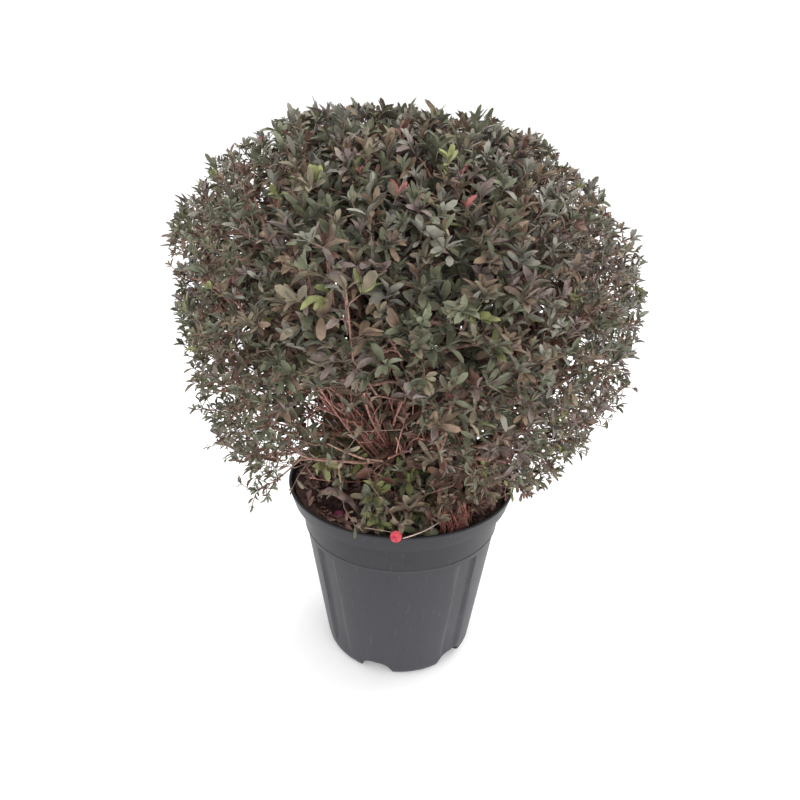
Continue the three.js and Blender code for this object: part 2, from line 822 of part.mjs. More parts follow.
// The dense heart of a mass: a rough lump that fills its cell to well inside the outline.
function coreGeometry(mass, fits) {
  const lump = new THREE.IcosahedronGeometry(1, 1);
  const merged = mergeVertices(lump.deleteAttribute("normal").deleteAttribute("uv"), 1e-4);
  const place = merged.attributes.position;
  for (let i = 0; i < place.count; i++) {
    const ray = new THREE.Vector3().fromBufferAttribute(place, i).normalize();
    const along = (distance) => mass.middle.clone().addScaledVector(ray, distance);
    let reach = 0;
    while (reach < CORE.most && fits(along(reach + CORE.step))) reach += CORE.step;
    reach *= 1 - CORE.roughness * chance(i + 1, mass.directionDeg);
    const point = along(reach);
    place.setXYZ(i, point.x, point.y, point.z);
  }
  return merged;
}

// One mass of foliage as a single solid: its stem, its twigs, its leaves and, where it is dense, its core.
// Its stem stands on the bearer, and nothing in it crosses an obstacle.
function foliageSolid(mass, start, heading, fits, bearer, obstacles, swell) {
  const fork = start.clone().lerp(mass.middle, GROWTH.stemShare);
  const stemCurve = new THREE.LineCurve3(start, fork);
  const stemRadius = Math.min(BOUGH.tipRadius, woodRadius(mass.ends.length));
  const stem = limbGeometry(stemCurve, stemRadius, stemRadius * GROWTH.taper, GROWTH.stemSides, 1);
  const pieces = [boxed(solidOf(stem))];
  if (mass.core) {
    const inHeart = (point) => {
      const share = depthShare(point);
      return share > CORE.inner && share < CORE.outer && fits([point], CORE.limbGap);
    };
    pieces.push(boxed(solidOf(coreGeometry(mass, inHeart))));
  }
  const carriers = [];
  for (const twig of growTwigs(fork, heading, mass.ends, [])) {
    const root = woodRadius(twig.carries) * swell;
    const tip = root * (twig.last ? GROWTH.endTaper : GROWTH.taper);
    const wood = limbGeometry(twig.curve, root, tip, GROWTH.twigSides, twig.last ? 1 : GROWTH.twigSegments);
    if (!fits(cornersOf(wood).filter((corner) => corner.distanceTo(start) > GROWTH.freeOfStem))) continue;
    const piece = boxed(solidOf(wood));
    if (crossesAny(piece, obstacles)) continue;
    pieces.push(piece);
    if (twig.last) carriers.push({ twig, piece });
  }
  const leaves = [];
  carriers.forEach(({ twig, piece }, number) => {
    const others = [...pieces.filter((other) => other !== piece), ...leaves, ...obstacles];
    leaves.push(...whorl(twig, number + mass.directionDeg, fits, others));
  });
  return largestBody(joined([...pieces, ...leaves].map(({ solid }) => solid)).subtract(bearer));
}

// A mass that comes out pinched along an edge is grown again with slightly thicker twigs.
function soundFoliage(mass, start, heading, fits, bearer, obstacles) {
  for (const swell of GROWTH.swells) {
    const solid = foliageSolid(mass, start, heading, fits, bearer, obstacles, swell);
    if (closes(solid)) return solid;
  }
  throw new Error(`${mass.name} is pinched`);
}

function crownFoliage(mass, bough, masses, obstacles) {
  const heading = bough.curve.getTangentAt(1);
  const start = bough.curve.getPointAt(1).addScaledVector(heading, CLEAR);
  const isFree = (corner, spare) =>
    insideCrown(corner) && inCell(mass, corner, masses) && clearOfLimbs(corner, spare);
  const fits = (corners, spare = GROWTH.limbGap) => corners.every((corner) => isFree(corner, spare));
  return soundFoliage(mass, start, heading, fits, bough.grown, obstacles);
}

// Where a low shoot may be: over the mix, inside the pot's mouth or just above the lip.
function inPotMouth(point) {
  const radius = Math.hypot(point.x, point.y);
  if (point.z < MIX.top + 2 * MIX.bump) return false;
  if (point.z > POT.height) return radius < POT.lipRadius + LOW_SHOOTS.overLip;
  return radius < POT.collarRadius - POT.wall;
}

// A low shoot: a few twigs that rise from the trunk's foot and lean out over the mix.
function lowFoliage(mass, trunk, masses, obstacles) {
  const out = polar(mass.directionDeg, 1, 0);
  const start = trunk.curve.getPoint(LOW_SHOOTS.leavesTrunkAt).addScaledVector(out, TRUNK.topRadius / 2);
  const heading = out.multiplyScalar(LOW_SHOOTS.lean).add(Z).normalize();
  const fits = (corners) =>
    corners.every((corner) => {
      return inPotMouth(corner) && inCell(mass, corner, masses) && clearOfLimbs(corner, GROWTH.limbGap);
    });
  return soundFoliage(mass, start, heading, fits, trunk.grown, obstacles);
}

// The finished plant.

const materials = {
  pot: new THREE.MeshStandardMaterial({ color: COLOURS.pot, roughness: 0.55, metalness: 0 }),
  mix: new THREE.MeshStandardMaterial({ color: COLOURS.mix, roughness: 0.95, metalness: 0 }),
  bark: new THREE.MeshStandardMaterial({ color: COLOURS.bark, roughness: 0.85, metalness: 0 }),
  green: new THREE.MeshStandardMaterial({ color: COLOURS.green, roughness: 0.6, metalness: 0 }),
  bronze: new THREE.MeshStandardMaterial({ color: COLOURS.bronze, roughness: 0.6, metalness: 0 }),
};

function named(name, solid, material) {
  const mesh = new THREE.Mesh(geometryOf(solid), material);
  mesh.name = name;
  return mesh;
}

function buildShrub() {
  const container = new THREE.Group();
  container.add(named("pot", potSolid(), materials.pot));
  container.add(named("potting_mix", mixSolid(), materials.mix));

  const crown = crownMasses();
  const low = lowMasses();
  const masses = [...crown, ...low];
  shareTwigEnds(crown);
  const trunk = trunkLimb();
  const stems = mainStems(trunk);
  const boughs = crown.map((mass) => boughFor(mass, stems));
  const wood = new THREE.Group();
  for (const limb of limbs) wood.add(named(limb.name, limb.solid, materials.bark));

  const obstacles = [lipRoom(), ...limbs.map(({ grown }) => grown)].map(boxed);
  const foliage = new THREE.Group();
  crown.forEach((mass, i) => {
    const warmth = mass.middle.x + BRONZE.heightShare * (mass.middle.z - BRONZE.fromHeight);
    const material = warmth > BRONZE.least ? materials.bronze : materials.green;
    foliage.add(named(mass.name, crownFoliage(mass, boughs[i], masses, obstacles), material));
  });
  for (const mass of low) {
    foliage.add(named(mass.name, lowFoliage(mass, trunk, masses, obstacles), materials.green));
  }

  const shrub = new THREE.Group();
  shrub.add(container, wood, foliage);
  return shrub;
}

export default buildShrub();
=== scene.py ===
"""The looks of a small-leaved azalea in its nursery pot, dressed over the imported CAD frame.

Sizes are in millimetres in the code and in metres in the meshes. The growth rule is the one of the
part's source: masses of foliage in their own cells, twigs that fork towards their ends, and whorls
of leaves, carried here to finer twigs and to leaves of their real size.
"""
import logging
import math
import random
from dataclasses import dataclass, field
from enum import Enum
from functools import partial
from typing import Callable, Iterable, Sequence

import bmesh
import bpy
import numpy as np
from bmesh.types import BMEdge, BMesh, BMVert
from mathutils import Matrix, Vector, noise


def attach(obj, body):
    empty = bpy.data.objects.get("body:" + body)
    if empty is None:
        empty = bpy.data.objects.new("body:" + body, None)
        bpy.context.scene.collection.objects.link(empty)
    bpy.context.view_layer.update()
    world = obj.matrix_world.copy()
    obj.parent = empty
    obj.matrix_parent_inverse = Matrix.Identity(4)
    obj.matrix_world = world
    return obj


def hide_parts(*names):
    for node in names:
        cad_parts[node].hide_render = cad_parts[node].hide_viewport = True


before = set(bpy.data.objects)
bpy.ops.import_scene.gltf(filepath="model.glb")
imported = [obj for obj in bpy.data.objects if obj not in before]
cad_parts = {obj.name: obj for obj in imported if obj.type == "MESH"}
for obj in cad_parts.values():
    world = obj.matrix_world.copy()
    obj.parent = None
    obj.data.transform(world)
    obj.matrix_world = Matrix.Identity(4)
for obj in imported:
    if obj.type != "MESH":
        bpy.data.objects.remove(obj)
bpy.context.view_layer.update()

logging.basicConfig(level=logging.INFO, format="%(levelname)s %(message)s")
LOG = logging.getLogger("azalea")

Pair = tuple[float, float]
Triple = tuple[float, float, float]
MM = 0.001
SEED = 20
GOLDEN_ANGLE = math.pi * (3 - math.sqrt(5))
GRAIN_DETAIL = 5.0
GRAIN_ROUGHNESS = 0.6
RELIEF_STRENGTH = 0.6
WELD_MM = 0.01
EYE_MM = (0.0, -597.6, 541.0)
FRONT_PLANE_MM = -150.0
CAD_NODES = sorted(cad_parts)
FOLIAGE_NODES = [name for name in CAD_NODES if name.startswith(("foliage_", "low_shoot_"))]
LIMB_NODES = [name for name in CAD_NODES if name.startswith(("main_stem_", "bough_"))]
IN_CROWN = (FOLIAGE_NODES, "bark")
ON_MIX = (["potting_mix"], "potting_mix")


# Colours and nodes


def linear(code: str) -> tuple[float, float, float, float]:
    """Turns an sRGB colour into the linear one that Blender's sockets take.

    Args:
        code: six hexadecimal digits, such as "6f7a5c".

    Returns:
        Linear red, green and blue, and an alpha of 1.
    """
    channels = [int(code[i : i + 2], 16) / 255 for i in (0, 2, 4)]
    values = [c / 12.92 if c <= 0.04045 else ((c + 0.055) / 1.055) ** 2.4 for c in channels]
    return (values[0], values[1], values[2], 1.0)


def add_node(
    tree: bpy.types.NodeTree, kind: str, settings: dict | None = None, links: dict | None = None
) -> bpy.types.Node:
    """Adds a node with its settings and links.

    Args:
        tree: the material's node tree.
        kind: the node's type name, after its ShaderNode.
        settings: socket names or numbers, or the node's own properties, with their values.
        links: socket names or numbers, with the sockets that feed them, or nodes for their first socket.

    Returns:
        The new node.
    """
    node = tree.nodes.new("ShaderNode" + kind)
    for key, value in (settings or {}).items():
        if isinstance(key, str) and hasattr(node, key):
            setattr(node, key, value)
        else:
            node.inputs[key].default_value = value
    for key, source in (links or {}).items():
        tree.links.new(source.outputs[0] if isinstance(source, bpy.types.Node) else source, node.inputs[key])
    return node


@dataclass(frozen=True)
class Finish:
    """A surface finish: a procedural material with its colours, gloss and relief."""

    name: str
    dark: str
    light: str
    roughness: float
    ior: float
    grain_mm: float
    relief_mm: float
    rough_spread: float = 0.08
    stretch: Triple = (1.0, 1.0, 1.0)
    sheen: float = 0.0
    shine: float = 0.5
    contrast: Pair = (0.35, 0.65)

    def build(self) -> bpy.types.Material:
        """Makes the material.

        Returns:
            The new material.
        """
        material = bpy.data.materials.new(self.name)
        material.use_nodes = True
        tree = material.node_tree
        shader = tree.nodes["Principled BSDF"]
        constants = {"IOR": self.ior, "Sheen Weight": self.sheen, "Specular IOR Level": self.shine}
        for socket, value in constants.items():
            shader.inputs[socket].default_value = value
        where = add_node(tree, "TexCoord").outputs["Object"]
        placed = add_node(tree, "Mapping", {"Scale": self.stretch}, {"Vector": where})
        fine = {"Scale": 1 / (self.grain_mm * MM), "Detail": GRAIN_DETAIL, "Roughness": GRAIN_ROUGHNESS}
        grain = add_node(tree, "TexNoise", fine, {"Vector": placed})
        tone = add_node(tree, "ValToRGB", links={"Fac": grain})
        for stop, place, code in zip(tone.color_ramp.elements, self.contrast, (self.dark, self.light)):
            stop.position = place
            stop.color = linear(code)
        spread = {"To Min": self.roughness - self.rough_spread, "To Max": self.roughness + self.rough_spread}
        gloss = add_node(tree, "MapRange", spread, {"Value": grain})
        depth = {"Strength": RELIEF_STRENGTH, "Distance": self.relief_mm * MM}
        relief = add_node(tree, "Bump", depth, {"Height": grain})
        for socket, node in (("Base Color", tone), ("Roughness", gloss), ("Normal", relief)):
            tree.links.new(node.outputs[0], shader.inputs[socket])
        return material


@dataclass(frozen=True)
class PotFinish(Finish):
    """Moulded plastic under dust in streaks, with painted light by height: the dust thins on the collar as
    painted shade under the lip and the crown, and thickens towards the foot as a painted lightening of the
    low wall; a painted highlight makes a pale band at the seam, and pale scratches mark the wall.
    """

    dust: str = "3c3b41"
    # The dust's share by height is partly dust and partly painted light: thin on the collar for painted shade
    # under the lip and the crown, and thick at the foot for a painted lightening of the low wall.
    dust_and_shade_on_collar: float = 0.38
    dust_and_light_at_seam: float = 0.45
    dust_and_light_at_foot: float = 1.0
    dust_and_shade_edge_mm: float = 150.5
    dust_and_shade_fade_mm: float = 3.0
    streak_mm: float = 7.0
    streak_squash: float = 0.06
    streak_patches: Pair = (0.75, 1.15)
    # A painted highlight: a pale band just under the seam, where the seam's edge catches the light; the same
    # pale colour marks the real scratches.
    pale_scratch_and_highlight: str = "5d5c62"
    seam_highlight_share: float = 0.5
    seam_highlight_mm: float = 2.0
    seam_mm: float = 148.0
    scratch_mm: float = 2.2
    scratch_share: float = 0.2
    scratch_edges: Pair = (0.66, 0.74)

    def build(self) -> bpy.types.Material:
        """Makes the plastic, and lays over it by height the dust with its painted shade and light, the
        painted highlight under the seam and the scratches.

        Returns:
            The new material.
        """
        material = super().build()
        tree = material.node_tree
        node = partial(add_node, tree)
        base = tree.nodes["Principled BSDF"].inputs["Base Color"]
        where = node("TexCoord").outputs["Object"]
        height = node("SeparateXYZ", links={"Vector": where}).outputs["Z"]
        drawn = node("Mapping", {"Scale": (1.0, 1.0, self.streak_squash)}, {"Vector": where})
        streaks, scratches = (
            node("TexNoise", {"Scale": 1 / (size * MM), "Detail": detail}, {"Vector": drawn})
            for size, detail in ((self.streak_mm, 3.0), (self.scratch_mm, 1.0))
        )

        ends, seam = self.dust_and_shade_edge_mm * MM, self.seam_mm * MM
        full = (self.dust_and_shade_edge_mm - self.dust_and_shade_fade_mm) * MM
        seam_highlight_from = (self.seam_mm - self.seam_highlight_mm) * MM
        limits = ("From Min", "From Max", "To Min", "To Max")
        # The first two ranges set the dust's share by height, partly painted light: thinner on the collar for
        # painted shade, thicker towards the foot to lighten the low wall.
        dust_and_collar_shade, dust_and_foot_light, patchy, seam_highlight, scratch = (
            node("MapRange", {"interpolation_type": kind, **dict(zip(limits, values))}, {"Value": source})
            for source, kind, *values in (
                (height, "SMOOTHSTEP", ends, full, self.dust_and_shade_on_collar, 1.0),
                (height, "LINEAR", 0.0, ends, self.dust_and_light_at_foot, self.dust_and_light_at_seam),
                (streaks, "LINEAR", 0.0, 1.0, *self.streak_patches),
                # The painted highlight: a pale band just under the seam.
                (height, "SMOOTHSTEP", seam_highlight_from, seam, 0.0, self.seam_highlight_share),
                (scratches, "LINEAR", *self.scratch_edges, 0.0, self.scratch_share),
            )
        )
        # The dust's share, carrying the painted shade on the collar and the painted light towards the foot.
        dust_and_light_laid = node("Math", {"operation": "MULTIPLY"}, {0: dust_and_collar_shade, 1: dust_and_foot_light})
        share = node("Math", {"operation": "MULTIPLY"}, {0: dust_and_light_laid, 1: patchy})
        below = node("Math", {"operation": "LESS_THAN", 1: seam}, {0: height})
        added = {"operation": "MULTIPLY_ADD", "use_clamp": True}
        highlight_and_scratches = node("Math", added, {0: seam_highlight, 1: below, 2: scratch})
        # Dust over the plastic, then the painted seam highlight and the scratches in their pale colour.
        colour = base.links[0].from_socket
        for code, factor in ((self.dust, share), (self.pale_scratch_and_highlight, highlight_and_scratches)):
            over = {"data_type": "RGBA", "clamp_factor": True, 7: linear(code)}
            colour = node("Mix", over, {0: factor, 6: colour}).outputs[2]
        tree.links.new(colour, base)
        return material


# Injection-moulded polypropylene, black with recycled grey: a soft satin with faint handling marks.
POLYPROPYLENE = PotFinish(
    "pot_moulded_polypropylene", "1b1b1e", "212124", 0.45, 1.49, 26.0, 0.05, 0.07, shine=0.35
)
# Moist bark and peat potting mix: dark, crumbly and matt, with paler fibres.
POTTING_MIX = Finish("moist_peat_potting_mix", "2f2422", "705751", 0.92, 1.4, 3.2, 1.1, 0.05)
# Pine bark fines, the coarse crumbs on the mix: red-brown, rough and dry on top.
BARK_FINES = Finish("pine_bark_fines", "44332f", "8f6f64", 0.88, 1.45, 2.4, 0.5)
# Fallen leaves, dry and curled: dull red-brown to tan.
LEAF_LITTER = Finish("dry_azalea_leaf_litter", "6e5048", "b0908a", 0.8, 1.42, 4.0, 0.3)
# Fallen petals, bruised but still bright: magenta, with a waxy bloom.
PETAL = Finish("fallen_azalea_petal", "b32a52", "e8615c", 0.55, 1.4, 4.5, 0.2, sheen=0.2)
# Petals that have lain on the wet mix: limp and dark magenta.
BRUISED_PETAL = Finish("bruised_azalea_petal", "6b2942", "a04a68", 0.6, 1.4, 4.5, 0.2)
# Old azalea bark: thin, grey-brown and flaking lengthwise.
OLD_BARK = Finish("old_azalea_bark", "45302a", "8a6c58", 0.86, 1.45, 3.0, 0.7, stretch=(1.0, 1.0, 0.25))
# Young azalea wood: smooth pink-brown shoots, with a slight gloss.
YOUNG_WOOD = Finish("young_azalea_twig", "745549", "b38e7f", 0.6, 1.45, 4.0, 0.2)
# The shoots inside the crown, bare and smooth: red-brown.
SHOOT_WOOD = Finish("bare_azalea_shoot", "885a51", "cb978a", 0.6, 1.45, 4.0, 0.2)
# The last, thinnest twigs: grey-brown, dulled by fine hairs.
THIN_WOOD = Finish("hairy_azalea_twiglet", "57443b", "8f7567", 0.75, 1.45, 4.0, 0.2)
# A strip of weathered bark: bleached grey-pink, dry and fibrous.
BARK_STRIP = Finish("weathered_bark_strip", "66534e", "ab958d", 0.85, 1.45, 4.0, 0.5, stretch=(1.0, 1.0, 0.4))
# Dead twiglets: bone dry, rust-red and matt.
DEAD_WOOD = Finish("dead_azalea_twiglets", "864c45", "bd8479", 0.85, 1.45, 5.0, 0.2)
# Bleached stalks: dead grass and twigs gone pale and papery.
PALE_STALK = Finish("bleached_stalk", "a58d80", "cdb9ab", 0.8, 1.45, 6.0, 0.2)


@dataclass(frozen=True)
class LeafFinish(Finish):
    """A living leaf: a leathery blade whose wax gives a soft grey gloss to the side that faces the light."""

    roughness: float = 0.5
    ior: float = 1.45
    grain_mm: float = 11.0
    relief_mm: float = 0.25
    rough_spread: float = 0.1
    sheen: float = 0.1
    shine: float = 0.4


class Tint(Enum):
    """The tints of the leaves, each dealt out by spray."""

    # Mature summer leaves: dark green, leathery.
    DARK_GREEN = LeafFinish("leathery_leaf_dark_green", "494a3b", "696a52")
    # Leaves in full light: mid green.
    MID_GREEN = LeafFinish("leathery_leaf_mid_green", "5a5d49", "7f826a")
    # Leaves with a thick bloom of wax: grey-green.
    GREY_GREEN = LeafFinish("waxy_leaf_grey_green", "67665c", "918e82")
    # Leaves that begin to turn: olive-brown.
    OLIVE = LeafFinish("turning_leaf_olive", "61594b", "8d826b")
    # Autumn leaves: bronze.
    BRONZE = LeafFinish("autumn_leaf_bronze", "604f42", "8b7762")
    # The plum-brown leaves of the sunny side.
    PLUM = LeafFinish("autumn_leaf_plum", "5e504c", "877973")
    # New shoots and aged leaves: yellow-green.
    LIME = LeafFinish("young_leaf_yellow_green", "6f7448", "9a9d68")
    # Old leaves that hang on inside the crown: brown and dry.
    DRY = LeafFinish("hanging_leaf_dry_brown", "50372f", "7b5a4e")
    # Single leaves in full autumn red.
    RED = LeafFinish("autumn_leaf_red", "864747", "ae6c69")

    @property
    def slot(self) -> str:
        """Returns the record's material slot for leaves of this tint."""
        return "foliage_bronze" if self in (Tint.BRONZE, Tint.PLUM, Tint.DRY, Tint.RED) else "foliage_green"


# Growth: the rule of the part's source


def chance(index: float, salt: float) -> float:
    """Returns a number from 0 to 1 that depends only on what is counted."""
    wave = math.sin(index * 12.9898 + salt * 78.233) * 43758.5453
    return wave - math.floor(wave)


def ease(low: float, high: float, value: float) -> float:
    """Returns 0 below the low value, 1 above the high one, and a smooth rise between."""
    share = min(1.0, max(0.0, (value - low) / (high - low)))
    return share * share * (3 - 2 * share)


def between(span: Pair, share: float) -> float:
    """Returns a span's first value, with a share of its second one added."""
    return span[0] + span[1] * share


def polar(direction_deg: float, out: float, height: float) -> Vector:
    """Returns a point at a direction measured from the front, towards the right."""
    angle = math.radians(direction_deg)
    return Vector((out * math.sin(angle), -out * math.cos(angle), height))


@dataclass(frozen=True)
class Bend:
    """A gently bent path: a quadratic curve through its handle, walked by its length."""

    start: Vector
    handle: Vector
    end: Vector

    def raw(self, t: float) -> Vector:
        """Returns the point at the curve's own parameter."""
        return self.start * (1 - t) ** 2 + self.handle * (2 * t * (1 - t)) + self.end * t**2

    def parameter(self, share: float, steps: int = 24) -> float:
        """Finds the parameter at a share of the curve's length.

        Args:
            share: 0 at the start, 1 at the end.
            steps: how finely the curve is measured.

        Returns:
            The parameter.
        """
        points = [self.raw(i / steps) for i in range(steps + 1)]
        lengths = [0.0]
        for a, b in zip(points, points[1:]):
            lengths.append(lengths[-1] + (b - a).length)
        return float(np.interp(share * lengths[-1], lengths, [i / steps for i in range(steps + 1)]))

    def at(self, share: float) -> Vector:
        """Returns the point at a share of the curve's length."""
        return self.raw(self.parameter(share))

    def heading(self, share: float) -> Vector:
        """Returns the direction at a share of the curve's length.

        Args:
            share: 0 at the start, 1 at the end.

        Returns:
            The direction, one unit long.
        """
        t = self.parameter(share)
        ahead = (self.handle - self.start) * (1 - t) + (self.end - self.handle) * t
        return ahead.normalized()


def bend(start: Vector, heading: Vector, end: Vector, curl: float) -> Bend:
    """Returns a bent path that leaves a point along a heading."""
    return Bend(start, start + heading * ((end - start).length * curl), end)


@dataclass(frozen=True)
class Limb:
    """A tapering limb: its path and its radii."""

    name: str
    path: Bend
    root_radius: float
    tip_radius: float


@dataclass(frozen=True)
class Twig:
    """A twig: its path, its radii and how many ends it carries."""

    path: Bend
    root_radius: float
    tip_radius: float
    carries: int = 1


@dataclass
class Crown:
    """The crown's outline, as in the part's source."""

    widest_height: float = 381
    radius: float = 211
    top_reach: float = 170
    top_power: float = 2.3
    skirt_reach: float = 297
    skirt_power: float = 1.6
    over_pot: float = 200
    hang_radius: float = 122
    hangs_to: float = 178
    top_lean: float = -14
    halvings: int = 18
    focus: Vector = field(default_factory=lambda: Vector((0, 0, 346)))
    lobes: tuple[tuple[int, float, float], ...] = ((2, 0.025, 0.0), (5, 0.018, 20.0))

    def radius_at(self, height: float) -> float:
        """Returns the outline's radius at a height.

        Args:
            height: the height above the ground.

        Returns:
            The radius, 0 above the top and below the skirt.
        """
        above = height > self.widest_height
        power = self.top_power if above else self.skirt_power
        share = abs(height - self.widest_height) / (self.top_reach if above else self.skirt_reach)
        return 0.0 if share >= 1 else self.radius * (1 - share**power) ** (1 / power)

    def axis_x(self, height: float) -> float:
        """Returns how far the crown's middle leans to the side at a height."""
        return self.top_lean * max(0.0, height - self.widest_height) / self.top_reach

    def holds(self, point: Vector) -> bool:
        """Tells whether a point is inside the outline.

        Args:
            point: the place.

        Returns:
            True inside.
        """
        x = point.x - self.axis_x(point.z)
        radius = math.hypot(x, point.y)
        if point.z < (self.hangs_to if radius > self.hang_radius else self.over_pot):
            return False
        angle = math.atan2(point.y, x)
        swells = (depth * math.cos(turns * angle + math.radians(phase)) for turns, depth, phase in self.lobes)
        return radius < self.radius_at(point.z) * (1 + sum(swells))

    def reach(self, direction: Vector) -> float:
        """Finds how far the crown reaches from its focus, by halving.

        Args:
            direction: the direction from the focus.

        Returns:
            The distance to the outline.
        """
        near, far = 0.0, 2 * self.radius
        for _ in range(self.halvings):
            middle = (near + far) / 2
            if self.holds(self.focus + direction * middle):
                near = middle
            else:
                far = middle
        return near


@dataclass(frozen=True)
class Ring:
    """A ring of foliage masses, and how their boughs leave the main stems."""

    name: str
    count: int
    out: float
    height: float
    first_deg: float
    leaves_stem_at: float
    bough_runs: float


RINGS = (
    Ring("top", 1, 0, 487, 0, 0.97, 0.62),
    Ring("upper", 6, 112, 456, -30, 0.9, 0.52),
    Ring("middle", 7, 146, 366, 4, 0.6, 0.5),
    Ring("skirt", 7, 134, 270, 31, 0.3, 0.52),
)
RING_WANDER_DEG = 9.0


def on_front(point: Vector) -> Pair:
    """Returns where a point is seen on the upright plane in front of the crown: to the right, and up."""
    nearer = (FRONT_PLANE_MM - EYE_MM[1]) / (point.y - EYE_MM[1])
    return point.x * nearer, EYE_MM[2] + (point.z - EYE_MM[2]) * nearer


@dataclass(frozen=True)
class Opening:
    """A hollow in the front of the crown, placed on an upright plane through which it is seen."""

    x: float
    z: float
    half_width: float
    half_height: float
    share: float

    def share_at(self, point: Vector) -> float:
        """Finds the share of twig ends that the hollow leaves out round a point.

        Args:
            point: the place.

        Returns:
            The share, which fades at the hollow's edge.
        """
        x, z = on_front(point)
        across, upward = (x - self.x) / self.half_width, (z - self.z) / self.half_height
        return self.share * math.exp(-((across * across + upward * upward) ** 3))


OPENINGS = (
    Opening(-32, 316, 54, 54, 0.95),
    Opening(18, 284, 30, 22, 0.65),
    Opening(-40, 398, 13, 46, 0.88),
    Opening(-72, 276, 32, 32, 0.95),
    Opening(-58, 440, 22, 16, 0.6),
    Opening(2, 372, 24, 12, 0.6),
)
SPRIGS = (
    ((-120, -34, 206), (-177, -25, 240)),
    ((-138, -20, 204), (-166, -10, 223)),
    ((-112, -45, 208), (-141, -45, 198)),
    ((-160, -10, 262), (-200, 0, 264)),
    ((150, -2, 203), (205, 0, 279)),
    ((190, -10, 266), (212, -6, 299)),
    ((192, 0, 352), (209, 0, 380)),
    ((150, 10, 214), (184, 0, 238)),
    ((-42, -182, 348), (-37, -197, 438)),
    ((-50, -178, 392), (-49, -190, 462)),
    ((-64, -172, 372), (-62, -184, 446)),
    ((-84, 46, 496), (-91, 50, 528)),
    ((8, 50, 500), (10, 56, 527)),
    ((-180, 4, 420), (-199, 2, 434)),
    ((-180, 10, 362), (-202, 4, 370)),
)


@dataclass
class Mass:
    """A mass of foliage: its cell's middle, the twig ends in it, and the bough that carries it."""

    name: str
    direction_deg: float
    middle: Vector
    ring: Ring | None
    ends: list[Vector] = field(default_factory=list)
    bough: Limb | None = None


